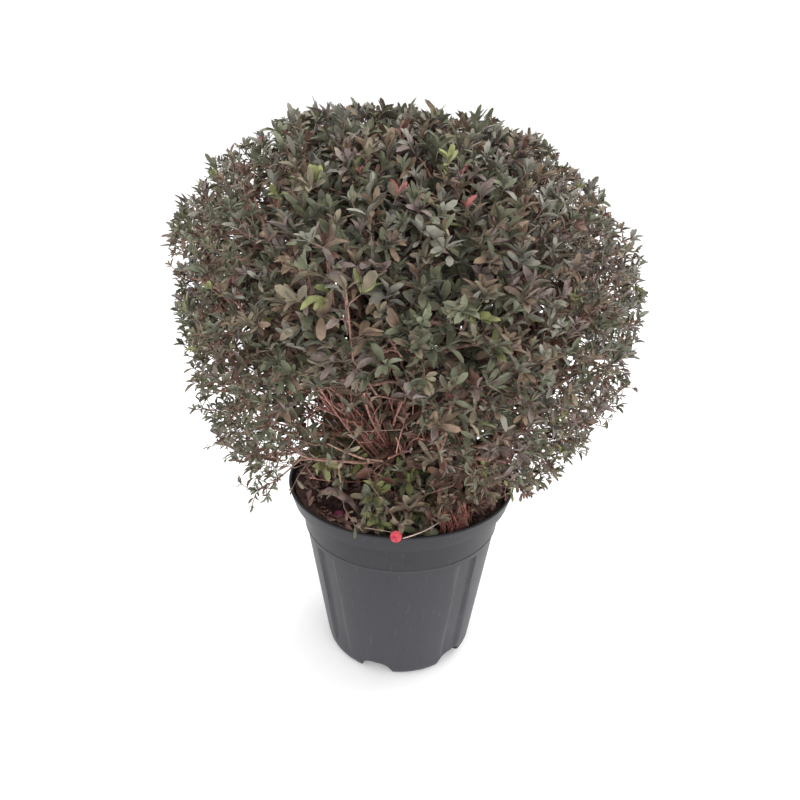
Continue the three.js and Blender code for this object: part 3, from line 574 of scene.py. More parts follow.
@dataclass
class ShrubWood:
    """The trunk, the main stems, the boughs, and the twigs that grow on from them."""

    crown: Crown = field(default_factory=Crown)
    mix_top: float = 173
    trunk_height: float = 46
    trunk_lean: Pair = (-4, 3)
    stem_count: int = 6
    stem_first_deg: float = -62
    stem_starts: Pair = (0.62, 0.3)
    stem_out: Pair = (52, 10)
    stem_height: Pair = (306, 26)
    stem_curl: float = 0.42
    stem_radii: Pair = (5.6, 3.9)
    top_stem: int = 3
    bough_radii: Pair = (3.8, 2.6)
    low_directions: tuple[float, ...] = (6, 52, 118, 186, 252)
    low_out: float = 70
    low_height: float = 204
    low_reach: Pair = (26, 78)
    low_rise: Pair = (181, 50)
    near_rim: float = 94
    over_rim: float = 203
    front_right_left_out: float = 0.6
    fork_share: float = 0.45
    curl: float = 0.35
    upturn: float = 0.3
    end_radius: float = 0.55
    pipe_power: float = 0.4
    pot_reach: float = 126
    clear_of_pot: float = 208
    lowest_end: float = 186
    end_inset: float = 9
    shoulder_inset: float = 4
    left_shoulder_out: float = 5
    left_inset: float = 5
    right_outset: float = 4
    clump_mm: float = 26
    clump_share: float = 0.62
    shells: tuple[tuple[float, int], ...] = (
        (0.975, 3400),
        (0.92, 2450),
        (0.85, 1350),
        (0.74, 950),
        (0.56, 520),
    )
    outer_shells: float = 0.88
    low_ends: tuple[int, ...] = (110, 140, 30, 24, 10)
    front_ends: float = 10
    middle_x: Pair = (70, 110)
    left_x: Pair = (-40, -110)
    skirt_z: Pair = (390, 290)
    skirt_shares: Pair = (0.33, 0.17)
    inner_z: Pair = (395, 330)
    inner_share: float = 0.4
    back_z: Pair = (440, 340)
    back_filled: float = 0.8
    porch_share: float = 0.97
    porch_fades: float = 18
    porch_x: tuple[float, ...] = (-170, -125, -85, 30, 75, 120, 170)
    porch_slope: tuple[float, ...] = (0.633, 0.59, 0.553, 0.543, 0.6, 0.61, 0.633)
    sprig_twigs: int = 9
    limbs: list[Limb] = field(default_factory=list)
    masses: list[Mass] = field(default_factory=list)
    twigs: list[Twig] = field(default_factory=list)

    def trunk_path(self) -> Bend:
        """Draws the trunk's straight path.

        Returns:
            The path, from the mix up.
        """
        foot = Vector((0, 0, self.mix_top + 0.3))
        head = Vector((*self.trunk_lean, self.mix_top + self.trunk_height))
        return Bend(foot, (foot + head) / 2, head)

    def grow_stems(self) -> list[tuple[Bend, float]]:
        """Grows the main stems out of the trunk's shoulder.

        Returns:
            Each stem's path and direction.
        """
        trunk = self.trunk_path()
        stems = []
        for i in range(self.stem_count):
            turn = self.stem_first_deg + i * 360 / self.stem_count + (chance(i + 1, 3) - 0.5) * 12
            out = polar(turn, 1, 0)
            start = trunk.at(between(self.stem_starts, chance(i + 1, 5))) + out * 4
            reach = between(self.stem_out, chance(i + 1, 7))
            end = polar(turn, reach, between(self.stem_height, chance(i + 1, 9)))
            path = bend(start, (out * 0.8 + Vector((0, 0, 1))).normalized(), end, self.stem_curl)
            self.limbs.append(Limb(f"main_stem_{i + 1}", path, *self.stem_radii))
            stems.append((path, turn))
        return stems

    def place_masses(self) -> None:
        """Places the middles of the crown's masses and of the low shoots."""
        for ring in RINGS:
            for i in range(ring.count):
                wander = 0.0 if ring.count == 1 else (chance(i + 1, ring.height) - 0.5) * RING_WANDER_DEG
                turn = ring.first_deg + i * 360 / ring.count + wander
                middle = polar(turn, ring.out, ring.height)
                middle.x += self.crown.axis_x(ring.height)
                name = f"foliage_{ring.name}" + ("" if ring.count == 1 else f"_{i + 1}")
                self.masses.append(Mass(name, turn, middle, ring))
        for i, turn in enumerate(self.low_directions):
            middle = polar(turn, self.low_out, self.low_height)
            self.masses.append(Mass(f"low_shoot_{i + 1}", turn, middle, None))

    def grow_boughs(self, stems: Sequence[tuple[Bend, float]]) -> None:
        """Grows one bough for each mass of the crown.

        Args:
            stems: the main stems' paths and directions.
        """
        for mass in self.masses:
            if mass.ring is None:
                continue
            off = [abs(turn - mass.direction_deg) % 360 for _, turn in stems]
            nearest = min(range(len(stems)), key=lambda i: min(off[i], 360 - off[i]))
            stem = stems[self.top_stem if mass.ring.count == 1 else nearest][0]
            share = mass.ring.leaves_stem_at - 0.06 * chance(mass.direction_deg, 11)
            start = stem.at(share)
            end = start.lerp(mass.middle, mass.ring.bough_runs)
            heading = (stem.heading(share) + (end - start).normalized()).normalized()
            path = bend(start, heading, end, 0.4)
            mass.bough = Limb(mass.name.replace("foliage", "bough"), path, *self.bough_radii)
            self.limbs.append(mass.bough)

    def owner(self, point: Vector) -> Mass:
        """Returns the crown's mass whose cell a point is in."""
        crown = (mass for mass in self.masses if mass.ring)
        return min(crown, key=lambda mass: (mass.middle - point).length_squared)

    def spread_ends(self) -> None:
        """Spreads the twig ends over shells of the crown, and thins them where the shrub is open."""
        for shell, (depth, count) in enumerate(self.shells):
            for k in range(count):
                rise = 1 - 2 * (k + 0.5) / count
                flat = math.sqrt(1 - rise * rise)
                turn = k * GOLDEN_ANGLE + shell * 1.7
                jitter = Vector([chance(k + 1, shell + salt) for salt in (2, 5, 9)])
                direction = Vector((flat * math.cos(turn), flat * math.sin(turn), rise))
                direction = (direction + (jitter - Vector((0.5, 0.5, 0.5))) * 0.09).normalized()
                lump = 0.035 * noise.fractal(direction * 5.5, 1.0, 2.0, 2)
                lump += 0.03 * (chance(k + 1, shell + 13) - 0.5)
                reach = self.crown.reach(direction) * min(1.0, depth + lump)
                end = self.crown.focus + direction * (reach - self.inset(direction))
                over_pot = math.hypot(end.x, end.y) < self.pot_reach
                if end.z < (self.clear_of_pot + 6 * chance(k + 1, 4) if over_pot else self.lowest_end):
                    continue
                if chance(k + 1, shell + 31) >= self.open_share(end, depth):
                    self.owner(end).ends.append(end)

    def open_share(self, point: Vector, depth: float) -> float:
        """Returns the share of twig ends left out round a point.

        Args:
            point: the place.
            depth: how far out the place is in the crown, from 0 to 1.

        Returns:
            0 in the dense dome, and nearly 1 under the front, where the skirt is lifted off the pot.
        """
        middle = 1 - ease(*self.middle_x, abs(point.x))
        pocket = self.clump_share * ease(0.1, -0.3, noise.noise(point / self.clump_mm))
        everywhere, more_left = self.skirt_shares
        skirt = ease(*self.skirt_z, point.z) * (everywhere + more_left * ease(*self.left_x, point.x))
        if depth < self.outer_shells:
            pocket = 0.0
            skirt += self.inner_share * ease(*self.inner_z, point.z) * (1 - middle)
        thin = 1 - (1 - pocket) * (1 - skirt)
        if point.y > self.front_ends:
            return thin * (1 - self.back_filled * middle * ease(*self.back_z, point.z))
        slope = float(np.interp(point.x, self.porch_x, self.porch_slope))
        under = EYE_MM[2] - slope * (point.y - EYE_MM[1]) - point.z
        porch = self.porch_share * ease(0, self.porch_fades, under)
        return min(0.98, max(thin, porch, *(opening.share_at(point) for opening in OPENINGS)))

    def inset(self, direction: Vector) -> float:
        """Returns how far inside the source's outline the twigs end, so that their leaves reach it.

        Args:
            direction: the direction from the crown's focus.

        Returns:
            The inset, larger at the right shoulder and on the left side.
        """
        left, right = max(0.0, -direction.x), max(0.0, direction.x)
        shoulder = math.exp(-(((direction.z - 0.65) / 0.33) ** 2))
        side = ease(-0.1, 0.1, direction.z) * ease(0.6, 0.3, direction.z)
        side *= self.left_inset * left - self.right_outset * right
        return self.end_inset + (self.shoulder_inset - self.left_shoulder_out * left) * shoulder + side

    def spread_low_ends(self, source: random.Random) -> None:
        """Gives each low shoot its twig ends over the mix.

        Args:
            source: the seeded source of chance.
        """
        shoots = [mass for mass in self.masses if mass.ring is None]
        for mass, count in zip(shoots, self.low_ends):
            for _ in range(count):
                out = between(self.low_reach, source.random() ** 0.75)
                turn = mass.direction_deg + source.uniform(-28, 38)
                end = polar(turn, out, between(self.low_rise, source.random() ** 1.3))
                if out > self.near_rim:
                    end.z = max(end.z, self.over_rim)
                if end.x > 30 and end.y < -48 and source.random() < self.front_right_left_out:
                    continue
                mass.ends.append(end)

    def grow_sprigs(self) -> None:
        """Grows the stray sprigs that hang out of the lower sides, each from the nearest bough."""
        boughs = [limb for limb in self.limbs if limb.name.startswith("bough")]
        for number, (through, to) in enumerate(SPRIGS):
            handle, tip = Vector(through), Vector(to)
            bough = min(boughs, key=lambda limb: (limb.path.end - handle).length)
            stem = Bend(bough.path.end, handle, tip)
            self.twigs.append(Twig(stem, 1.15, 0.7, self.sprig_twigs))
            self.twigs.append(Twig(Bend(stem.raw(0.86), stem.raw(0.94), tip), 0.75, 0.6))
            for k in range(self.sprig_twigs):
                share = 0.56 + 0.05 * k
                root = stem.raw(share)
                ahead = (stem.raw(share + 0.05) - root).normalized()
                out = ahead.orthogonal().normalized()
                out.rotate(Matrix.Rotation(k * GOLDEN_ANGLE + number, 3, ahead))
                end = root + (ahead * 0.8 + out * 0.8) * (9 + 7 * chance(k + 1, number + 41))
                self.twigs.append(Twig(bend(root, ahead, end, 0.4), 0.65, 0.5))

    def split(self, ends: list[Vector], start: Vector) -> list[list[Vector]]:
        """Splits twig ends into up to three groups that lie together.

        Args:
            ends: the ends to share out.
            start: where the wood has got to.

        Returns:
            The groups.
        """
        if len(ends) <= 3:
            return [[end] for end in ends]
        places = np.array([tuple(end) for end in ends])
        room = np.linalg.norm(places - np.array(tuple(start)), axis=1)
        seeds = [int(room.argmax())]
        room = np.linalg.norm(places - places[seeds[0]], axis=1)
        seeds.append(int(room.argmax()))
        room = np.minimum(room, np.linalg.norm(places - places[seeds[1]], axis=1))
        seeds.append(int(room.argmax()))
        near = np.stack([np.linalg.norm(places - places[s], axis=1) for s in seeds]).argmin(axis=0)
        groups = [[end for end, n in zip(ends, near) if n == g] for g in range(3)]
        return [group for group in groups if group]

    def fork(self, start: Vector, heading: Vector, ends: list[Vector]) -> None:
        """Grows a twig part of the way to each group of ends, and forks again.

        Args:
            start: where the wood has got to.
            heading: its direction there.
            ends: the twig ends to reach.
        """
        for group in self.split(ends, start):
            last = len(group) == 1
            middle = sum(group, Vector()) / len(group)
            end = group[0] if last else start.lerp(middle, self.fork_share)
            radius = self.end_radius * len(group) ** self.pipe_power
            path = bend(start, heading, end, self.curl)
            if last:
                sag = Vector((0, 0, self.upturn * (end - start).length))
                path = Bend(start, path.handle - sag, end)
            self.twigs.append(Twig(path, radius, radius * (0.7 if last else 0.9), len(group)))
            if not last:
                self.fork(end, (end - start).normalized(), group)

    def grow(self) -> None:
        """Grows the whole shrub's wood."""
        self.place_masses()
        self.grow_boughs(self.grow_stems())
        self.spread_ends()
        self.spread_low_ends(random.Random(SEED))
        for mass in self.masses:
            if not mass.ends:
                continue
            if mass.bough:
                heading = mass.bough.path.heading(1)
                start = mass.bough.path.at(1) - heading * 2
            else:
                out = polar(mass.direction_deg, 1, 0)
                heading = (out * 0.7 + Vector((0, 0, 1))).normalized()
                start = self.trunk_path().at(0.25) + out * 9
            self.fork(start, heading, mass.ends)
        self.grow_sprigs()
        LOG.info("wood: %d limbs, %d masses, %d twigs", len(self.limbs), len(self.masses), len(self.twigs))


# Meshes


def linked(name: str, data: bpy.types.ID) -> bpy.types.Object:
    """Makes an object and links it to the scene.

    Args:
        name: the object's name.
        data: its mesh, light or camera.

    Returns:
        The new object.
    """
    item = bpy.data.objects.new(name, data)
    bpy.context.scene.collection.objects.link(item)
    return item


def keep(name: str, mesh: bpy.types.Mesh, finish: Finish, nodes: Iterable[str], slot: str) -> None:
    """Puts a finished mesh in the scene as a piece that stands for CAD nodes.

    Args:
        name: the piece's name.
        mesh: its mesh, in metres, in place.
        finish: its finish, whose material is made once.
        nodes: the CAD nodes it stands for.
        slot: the record's material slot; not used.
    """
    mesh.name = name
    mesh.materials.append(bpy.data.materials.get(finish.name) or finish.build())
    piece = linked(name, mesh)
    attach(piece, "root")
    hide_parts(*nodes)
    LOG.info("piece %s: %d faces", name, len(mesh.polygons))


def parts(geometry: Iterable, kind: type) -> list:
    """Returns the parts of one kind, such as vertices, among what a bmesh operator gives back."""
    return [item for item in geometry if isinstance(item, kind)]


def mesh_from(points: np.ndarray, faces: np.ndarray) -> bpy.types.Mesh:
    """Makes a smooth mesh from arrays of points in millimetres and of faces with equal corner counts.

    Args:
        points: one row of x, y and z for each point.
        faces: one row of point numbers for each face.

    Returns:
        The new mesh.
    """
    mesh = bpy.data.meshes.new("joined")
    corners = faces.shape[1]
    mesh.vertices.add(len(points))
    mesh.vertices.foreach_set("co", (points * MM).astype(np.float32).ravel())
    mesh.loops.add(faces.size)
    mesh.loops.foreach_set("vertex_index", faces.astype(np.int32).ravel())
    mesh.polygons.add(len(faces))
    mesh.polygons.foreach_set("loop_start", np.arange(0, faces.size, corners, dtype=np.int32))
    mesh.polygons.foreach_set("use_smooth", np.full(len(faces), True))
    mesh.update(calc_edges=True)
    mesh.validate()
    return mesh


def mesh_of(form: BMesh, sharp_deg: float = 35, scale: float = MM) -> bpy.types.Mesh:
    """Turns a bmesh into a smooth mesh in metres, with its sharp edges marked.

    Args:
        form: the bmesh, which is freed.
        sharp_deg: the angle from which an edge stays sharp.
        scale: the bmesh's unit in metres, or 1 where it is in metres already.

    Returns:
        The new mesh.
    """
    if scale != 1:
        bmesh.ops.scale(form, vec=(scale, scale, scale), verts=form.verts)
    mesh = bpy.data.meshes.new("shaped")
    form.to_mesh(mesh)
    form.free()
    mesh.shade_smooth()
    mesh.set_sharp_from_angle(angle=math.radians(sharp_deg))
    return mesh


@dataclass(frozen=True)
class TwigBundle:
    """Many slender tapering twigs, joined into one mesh from arrays."""

    sides: int
    stretches: int

    def rings(self, twigs: Sequence[Twig]) -> np.ndarray:
        """Returns the rings of points round every twig, with its two end points as rings of one place.

        Args:
            twigs: the twigs.

        Returns:
            An array by twig, ring, side and axis, in millimetres.
        """
        start, handle, end = (
            np.array([tuple(getattr(twig.path, part)) for twig in twigs])[:, None, :]
            for part in ("start", "handle", "end")
        )
        share = np.linspace(0, 1, self.stretches + 1)[None, :, None]
        centre = start * (1 - share) ** 2 + handle * 2 * share * (1 - share) + end * share**2
        ahead = (handle - start) * (1 - share) + (end - handle) * share
        ahead /= np.linalg.norm(ahead, axis=2, keepdims=True)
        whole = end - start
        upright = np.abs(whole[..., 2:]) > 0.7 * np.linalg.norm(whole, axis=2, keepdims=True)
        guide = np.where(upright, np.array([1.0, 0.0, 0.0]), np.array([0.0, 0.0, 1.0]))
        side = np.cross(ahead, np.broadcast_to(guide, ahead.shape))
        side /= np.linalg.norm(side, axis=2, keepdims=True)
        across = np.cross(ahead, side)
        radii = np.array([(twig.root_radius, twig.tip_radius) for twig in twigs])
        radius = radii[:, None, :1] * (1 - share) + radii[:, None, 1:] * share
        turn = 2 * np.pi * np.arange(self.sides) / self.sides
        spokes = side[:, :, None] * np.cos(turn)[:, None] + across[:, :, None] * np.sin(turn)[:, None]
        tube = centre[:, :, None] + spokes * radius[:, :, None]
        caps = [np.broadcast_to(centre[:, i, None, None], (len(twigs), 1, self.sides, 3)) for i in (0, -1)]
        return np.concatenate([caps[0], tube, caps[1]], axis=1)

    def mesh(self, twigs: Sequence[Twig]) -> bpy.types.Mesh:
        """Joins the twigs into one mesh.

        Args:
            twigs: the twigs.

        Returns:
            The mesh, of triangles.
        """
        points = self.rings(twigs)
        count, rows, sides = points.shape[:3]
        grid = np.arange(rows * sides).reshape(rows, sides)
        after = np.roll(grid, -1, axis=1)
        quads = [grid[:-1], after[:-1], after[1:], grid[1:]]
        lower = np.stack(quads[:3], axis=-1)[1:].reshape(-1, 3)
        upper = np.stack([quads[0], quads[2], quads[3]], axis=-1)[:-1].reshape(-1, 3)
        pattern = np.concatenate([lower, upper])
        faces = pattern[None] + np.arange(count)[:, None, None] * rows * sides
        return mesh_from(points.reshape(-1, 3), faces.reshape(-1, 3))


# The pot and what lies in its mouth


@dataclass
class Pot:
    """The nursery pot, as measured from its rim."""

    height: float = 196
    lip_radius: float = 115
    lip_thick: float = 3.7
    lip_drop: float = 18
    lip_foot: float = 110.5
    collar_radius: float = 104
    base_radius: float = 78.4
    corner: float = 11
    seam_height: float = 148
    seam_step: float = 0.8
    collar_top: float = 174
    wall: float = 2.2
    floor: float = 2.5
    hollow_over: float = 20
    sides: int = 180
    flute_deg: float = 42.2
    flute_width: float = 22
    flute_depth: float = 3
    flute_ends: float = 6
    flute_soft: float = 2.4
    flute_rises: Pair = (12, 30)
    flutes_outside: float = 60
    arch_count: int = 6
    arch_deg: float = 43.5
    arch_half: float = 17
    arch_height: float = 16
    arch_shoulder: float = 13
    arch_inner: float = 57
    arch_run: float = 60
    arch_foot: float = -12
    hole_radius: float = 4
    hole_inset: float = 5.5
    hole_deep: float = 20
    sharp_deg: float = 32

    def outer(self, height: float) -> float:
        """Finds the wall's outer radius at a height.

        Args:
            height: the height above the ground.

        Returns:
            The radius, less the step below the seam.
        """
        share = height / (self.height - self.lip_drop)
        radius = self.base_radius + (self.collar_radius - self.base_radius) * share
        return radius if height > self.seam_height else radius - self.seam_step

    def corner_arc(self, wall: float, steps: int) -> list[Pair]:
        """Returns the rounded corner between the floor and the wall, this far in from the outside.

        Args:
            wall: how far in, in millimetres.
            steps: the number of stretches round the corner.

        Returns:
            Radius and height of each point, from the floor up.
        """
        centre = self.outer(self.corner) - self.corner
        radius = self.corner - wall
        turns = np.linspace(0, math.pi / 2, steps + 1)
        return [(centre + radius * math.sin(a), self.corner - radius * math.cos(a)) for a in turns]

    def rows(self) -> list[float]:
        """Sets out the rings of points up the wall, two of them close where the flutes end.

        Returns:
            Their heights.
        """
        ends = self.seam_height - self.flute_ends
        even = np.linspace(self.corner, ends - 1, 9)[1:]
        return [*even, ends + 0.5, ends + self.wall + 0.6, self.seam_height]

    def outside(self) -> list[Pair]:
        """Draws the outer outline: the foot, the wall, the seam's step, the collar and the rolled lip.

        Returns:
            Radius and height of each point, from the underside's middle to the middle of the lip's plane.
        """
        under = self.height - self.lip_drop
        above = self.seam_height + self.seam_step
        step = self.outer(above)
        return [
            (0, 0),
            *self.corner_arc(0, 6),
            *[(self.outer(height), height) for height in self.rows()],
            (step - 0.3, self.seam_height + 0.1),
            (step + 0.35, self.seam_height + 0.5),
            (step + 0.4, above + 0.4),
            (step + 0.05, above + 1.0),
            (self.outer(self.seam_height + 14), self.seam_height + 14),
            (self.collar_radius - 0.1, under - 1.2),
            (self.collar_radius + 0.7, under - 0.3),
            (self.lip_foot - 1.2, under + 0.5),
            (self.lip_foot - 0.2, under + 0.9),
            (self.lip_foot + 0.1, under + 2.0),
            (self.lip_radius - 0.4, self.height - 2.4),
            (self.lip_radius - 0.2, self.height - 1.0),
            (self.lip_radius - 1.1, self.height - 0.1),
            (self.lip_radius - 1.9, self.height),
            (0, self.height),
        ]

    def hollow(self) -> list[Pair]:
        """Draws the inner outline: the floor, the wall, the collar and the mouth.

        Returns:
            Radius and height of each point, from the floor's middle to above the mouth.
        """
        mouth = self.lip_radius - self.lip_thick
        over = self.height + self.hollow_over
        return [
            (0, self.floor),
            *self.corner_arc(self.wall, 5),
            *[(self.outer(height) - self.wall, height) for height in self.rows()],
            (self.outer(self.collar_top) - self.wall, self.collar_top),
            (mouth - 0.1, self.height - 1.6),
            (mouth + 0.3, self.height - 0.6),
            (mouth + 0.9, self.height + 0.05),
            (mouth + 0.9, over),
            (0, over),
        ]

    def turned(self, outline: Sequence[Pair], wider: float) -> bpy.types.Mesh:
        """Turns an outline into a closed solid, with the flutes pressed into its side.

        Args:
            outline: radius and height of each point, from the axis back to the axis.
            wider: how much wider each flute is than on the outside.

        Returns:
            The solid's mesh.
        """
        form = bmesh.new()
        verts = [form.verts.new((radius, 0, height)) for radius, height in outline]
        geom = verts + [form.edges.new(pair) for pair in zip(verts, verts[1:])]
        bmesh.ops.spin(form, geom=geom, axis=(0, 0, 1), angle=2 * math.pi, steps=self.sides, use_merge=True)
        bmesh.ops.remove_doubles(form, verts=form.verts, dist=WELD_MM)
        bmesh.ops.recalc_face_normals(form, faces=form.faces)
        self.press_flutes(form, wider)
        return mesh_of(form)

    def press_flutes(self, form: BMesh, wider: float) -> None:
        """Presses the four shallow flutes into the wall under the collar.

        Args:
            form: the turned solid.
            wider: how much wider each flute is than on the outside.
        """
        half = self.flute_width / 2 + wider
        ends = self.seam_height - self.flute_ends
        for vert in form.verts:
            x, y, z = vert.co
            radius = math.hypot(x, y)
            if radius < self.flutes_outside or z > ends + wider:
                continue
            azimuth = math.degrees(math.atan2(x, -y))
            off = (azimuth - self.flute_deg + 45) % 90 - 45
            across = abs(math.radians(off) * radius)
            edge = ease(half + self.flute_soft, half - self.flute_soft, across)
            press = self.flute_depth * edge * ease(*self.flute_rises, z)
            vert.co.x *= (radius - press) / radius
            vert.co.y *= (radius - press) / radius

    def arch_turns(self) -> list[Matrix]:
        """Returns the turns that take a shape at the front to each of the arches."""
        turns = [self.arch_deg + i * 360 / self.arch_count for i in range(self.arch_count)]
        return [Matrix.Rotation(math.radians(turn), 4, "Z") for turn in turns]

    def arches(self, grow: float) -> bpy.types.Mesh:
        """Shapes the six arch blocks that notch the foot of the wall.

        Args:
            grow: how much larger than the notch each block is, for the step that it raises inside.

        Returns:
            The blocks as one mesh.
        """
        form = bmesh.new()
        corner = self.arch_shoulder
        half, top = self.arch_half + grow, self.arch_height + grow
        rise, middle = top - corner, half - corner
        rounds = np.linspace(0, math.pi / 2, 8)
        right = [(middle + corner * math.cos(a), rise + corner * math.sin(a)) for a in rounds]
        left = [(-x, z) for x, z in reversed(right)]
        for turn in self.arch_turns():
            outline = [(-half, self.arch_foot), (half, self.arch_foot), *right, *left]
            front = [form.verts.new((x, -(self.arch_inner - grow), z)) for x, z in outline]
            moved = bmesh.ops.extrude_face_region(form, geom=[form.faces.new(front)])
            back = parts(moved["geom"], BMVert)
            bmesh.ops.translate(form, verts=back, vec=(0, -self.arch_run, 0))
            bmesh.ops.transform(form, matrix=turn, verts=front + back)
        bmesh.ops.recalc_face_normals(form, faces=form.faces)
        return mesh_of(form)

    def drains(self) -> bpy.types.Mesh:
        """Shapes the pegs that cut a drain hole in the roof and back of each arch.

        Returns:
            The pegs as one mesh.
        """
        form = bmesh.new()
        place = Matrix.Translation((0, -(self.arch_inner + self.hole_inset), self.arch_height))
        radius = self.hole_radius
        for turn in self.arch_turns():
            made = bmesh.ops.create_cone(
                form, cap_ends=True, segments=24, radius1=radius, radius2=radius, depth=self.hole_deep
            )
            bmesh.ops.transform(form, matrix=turn @ place, verts=made["verts"])
        return mesh_of(form)

    def build(self) -> None:
        """Builds the pot: its outside, less its hollow, its arches and its drain holes."""
        hollow = cut(self.turned(self.hollow(), self.wall), self.arches(self.wall))
        body = cut(self.turned(self.outside(), 0), hollow, self.arches(0), self.drains())
        form = bmesh.new()
        form.from_mesh(body)
        # Triangles first: a weld would drop the flat faces that run round the drain holes.
        bmesh.ops.triangulate(form, faces=form.faces)
        bmesh.ops.remove_doubles(form, verts=form.verts, dist=WELD_MM * MM)
        bmesh.ops.dissolve_degenerate(form, dist=WELD_MM * MM, edges=form.edges)
        keep("pot_body", mesh_of(form, self.sharp_deg, 1), POLYPROPYLENE, ["pot"], "pot")


def cut(body: bpy.types.Mesh, *cutters: bpy.types.Mesh) -> bpy.types.Mesh:
    """Cuts closed meshes from another, one after the other, with Boolean modifiers that it applies.

    Args:
        body: the mesh that is cut.
        cutters: the meshes that are cut from it.

    Returns:
        The new mesh.
    """
    for cutter in cutters:
        base, tool = linked("boolean_base", body), linked("boolean_tool", cutter)
        change = base.modifiers.new("cut", "BOOLEAN")
        change.operation = "DIFFERENCE"
        change.solver = "EXACT"
        change.object = tool
        depsgraph = bpy.context.evaluated_depsgraph_get()
        body = bpy.data.meshes.new_from_object(base.evaluated_get(depsgraph))
        for item in (base, tool):
            bpy.data.objects.remove(item)
    return body


@dataclass
class MixSurface:
    """The top of the potting mix, with its crumbs."""

    top: float = 173
    radius: float = 101.2
    depth: float = 46
    foot_radius: float = 88
    rings: int = 46
    spokes: int = 140
    lumps: Pair = (26, 2.1)
    grains: Pair = (6, 0.9)
    crumbs: int = 1500
    crumb_mm: Pair = (1.2, 5.4)
    crumb_ragged: float = 0.12
    pit: Pair = (-60, -37)
    pit_radius: float = 22
    pit_depth: float = 34
    banks: tuple[Triple, ...] = ((-96, 78, 19), (84, 50, 14))
    wall_slope: float = 0.42

    def from_pit(self, x: float, y: float) -> float:
        """Returns how far a place is from the middle of the hollow."""
        return math.hypot(x - self.pit[0], y - self.pit[1])

    def heaped(self, x: float, y: float) -> float:
        """Finds how far the litter banked up against the wall raises the surface.

        Args:
            x: the place's x.
            y: the place's y.

        Returns:
            The height of the bank there.
        """
        azimuth = math.degrees(math.atan2(x, -y))
        near_wall = ease(0.5, 1.0, math.hypot(x, y) / self.radius)
        return near_wall * max(
            height * ease(half_deg, half_deg * 0.4, abs((azimuth - turn + 180) % 360 - 180))
            for turn, half_deg, height in self.banks
        )

    def level(self, x: float, y: float) -> float:
        """Finds the height of the mix's surface.

        Args:
            x: the place's x.
            y: the place's y.

        Returns:
            The height above the ground.
        """
        sunk = self.pit_depth * ease(self.pit_radius, self.pit_radius * 0.4, self.from_pit(x, y))
        (lump_mm, lump_high), (grain_mm, grain_high) = self.lumps, self.grains
        lump = noise.fractal(Vector((x / lump_mm, y / lump_mm, 3.1)), 1.0, 2.0, 4)
        fine = noise.fractal(Vector((x / grain_mm, y / grain_mm, 8.3)), 1.0, 2.0, 2)
        return self.top + lump_high * lump + grain_high * fine + self.heaped(x, y) - sunk

    def build(self) -> None:
        """Builds the mix's surface and its crumbs."""
        form = bmesh.new()
        bmesh.ops.create_circle(form, cap_ends=False, segments=self.spokes, radius=self.radius)
        rim = list(form.edges)
        for i in range(self.rings):
            share = 1 - (i + 1) / (self.rings + 1)
            moved = bmesh.ops.extrude_edge_only(form, edges=rim)["geom"]
            rim = parts(moved, BMEdge)
            for vert in parts(moved, BMVert):
                vert.co.xy = vert.co.xy.normalized() * self.radius * share
        bmesh.ops.holes_fill(form, edges=rim, sides=0)
        for vert in form.verts:
            x, y, _ = vert.co
            vert.co.z = self.level(x, y)
            out = self.wall_slope * self.heaped(x, y) * math.hypot(x, y) / self.radius**2
            vert.co.xy = vert.co.xy * (1 + out)
        outer = [edge for edge in form.edges if edge.is_boundary]
        skirt = bmesh.ops.extrude_edge_only(form, edges=outer)["geom"]
        for vert in parts(skirt, BMVert):
            vert.co.xy = vert.co.xy.normalized() * self.foot_radius
            vert.co.z = self.top - self.depth
        bmesh.ops.holes_fill(form, edges=parts(skirt, BMEdge), sides=0)
        bmesh.ops.recalc_face_normals(form, faces=form.faces)
        keep("mix_surface", mesh_of(form, 80), POTTING_MIX, *ON_MIX)
        self.build_crumbs(random.Random(SEED + 1))

    def build_crumbs(self, source: random.Random) -> None:
        """Scatters bark crumbs over the surface.

        Args:
            source: the seeded source of chance.
        """
        form = bmesh.new()
        for _ in range(self.crumbs):
            out = (self.radius - 3) * math.sqrt(source.random())
            turn = source.uniform(0, 2 * math.pi)
            x, y = out * math.cos(turn), out * math.sin(turn)
            size = source.uniform(*self.crumb_mm)
            if self.from_pit(x, y) < self.pit_radius * 0.7:
                continue
            verts = bmesh.ops.create_icosphere(form, subdivisions=1, radius=size / 2)["verts"]
            shape = Matrix.Diagonal((1.0, source.uniform(0.4, 0.9), source.uniform(0.25, 0.6), 1))
            spin = Matrix.Rotation(source.uniform(0, 6.28), 4, "Z")
            tip = Matrix.Rotation(source.uniform(-0.5, 0.5), 4, "X")
            place = Matrix.Translation((x, y, self.level(x, y) + size * 0.12))
            bmesh.ops.transform(form, matrix=place @ (spin @ tip) @ shape, verts=verts)
            rough = self.crumb_ragged
            for vert in verts:
                vert.co += Vector([source.uniform(-rough, rough) * size for _ in range(3)])
        keep("mix_crumbs", mesh_of(form, 20), BARK_FINES, *ON_MIX)


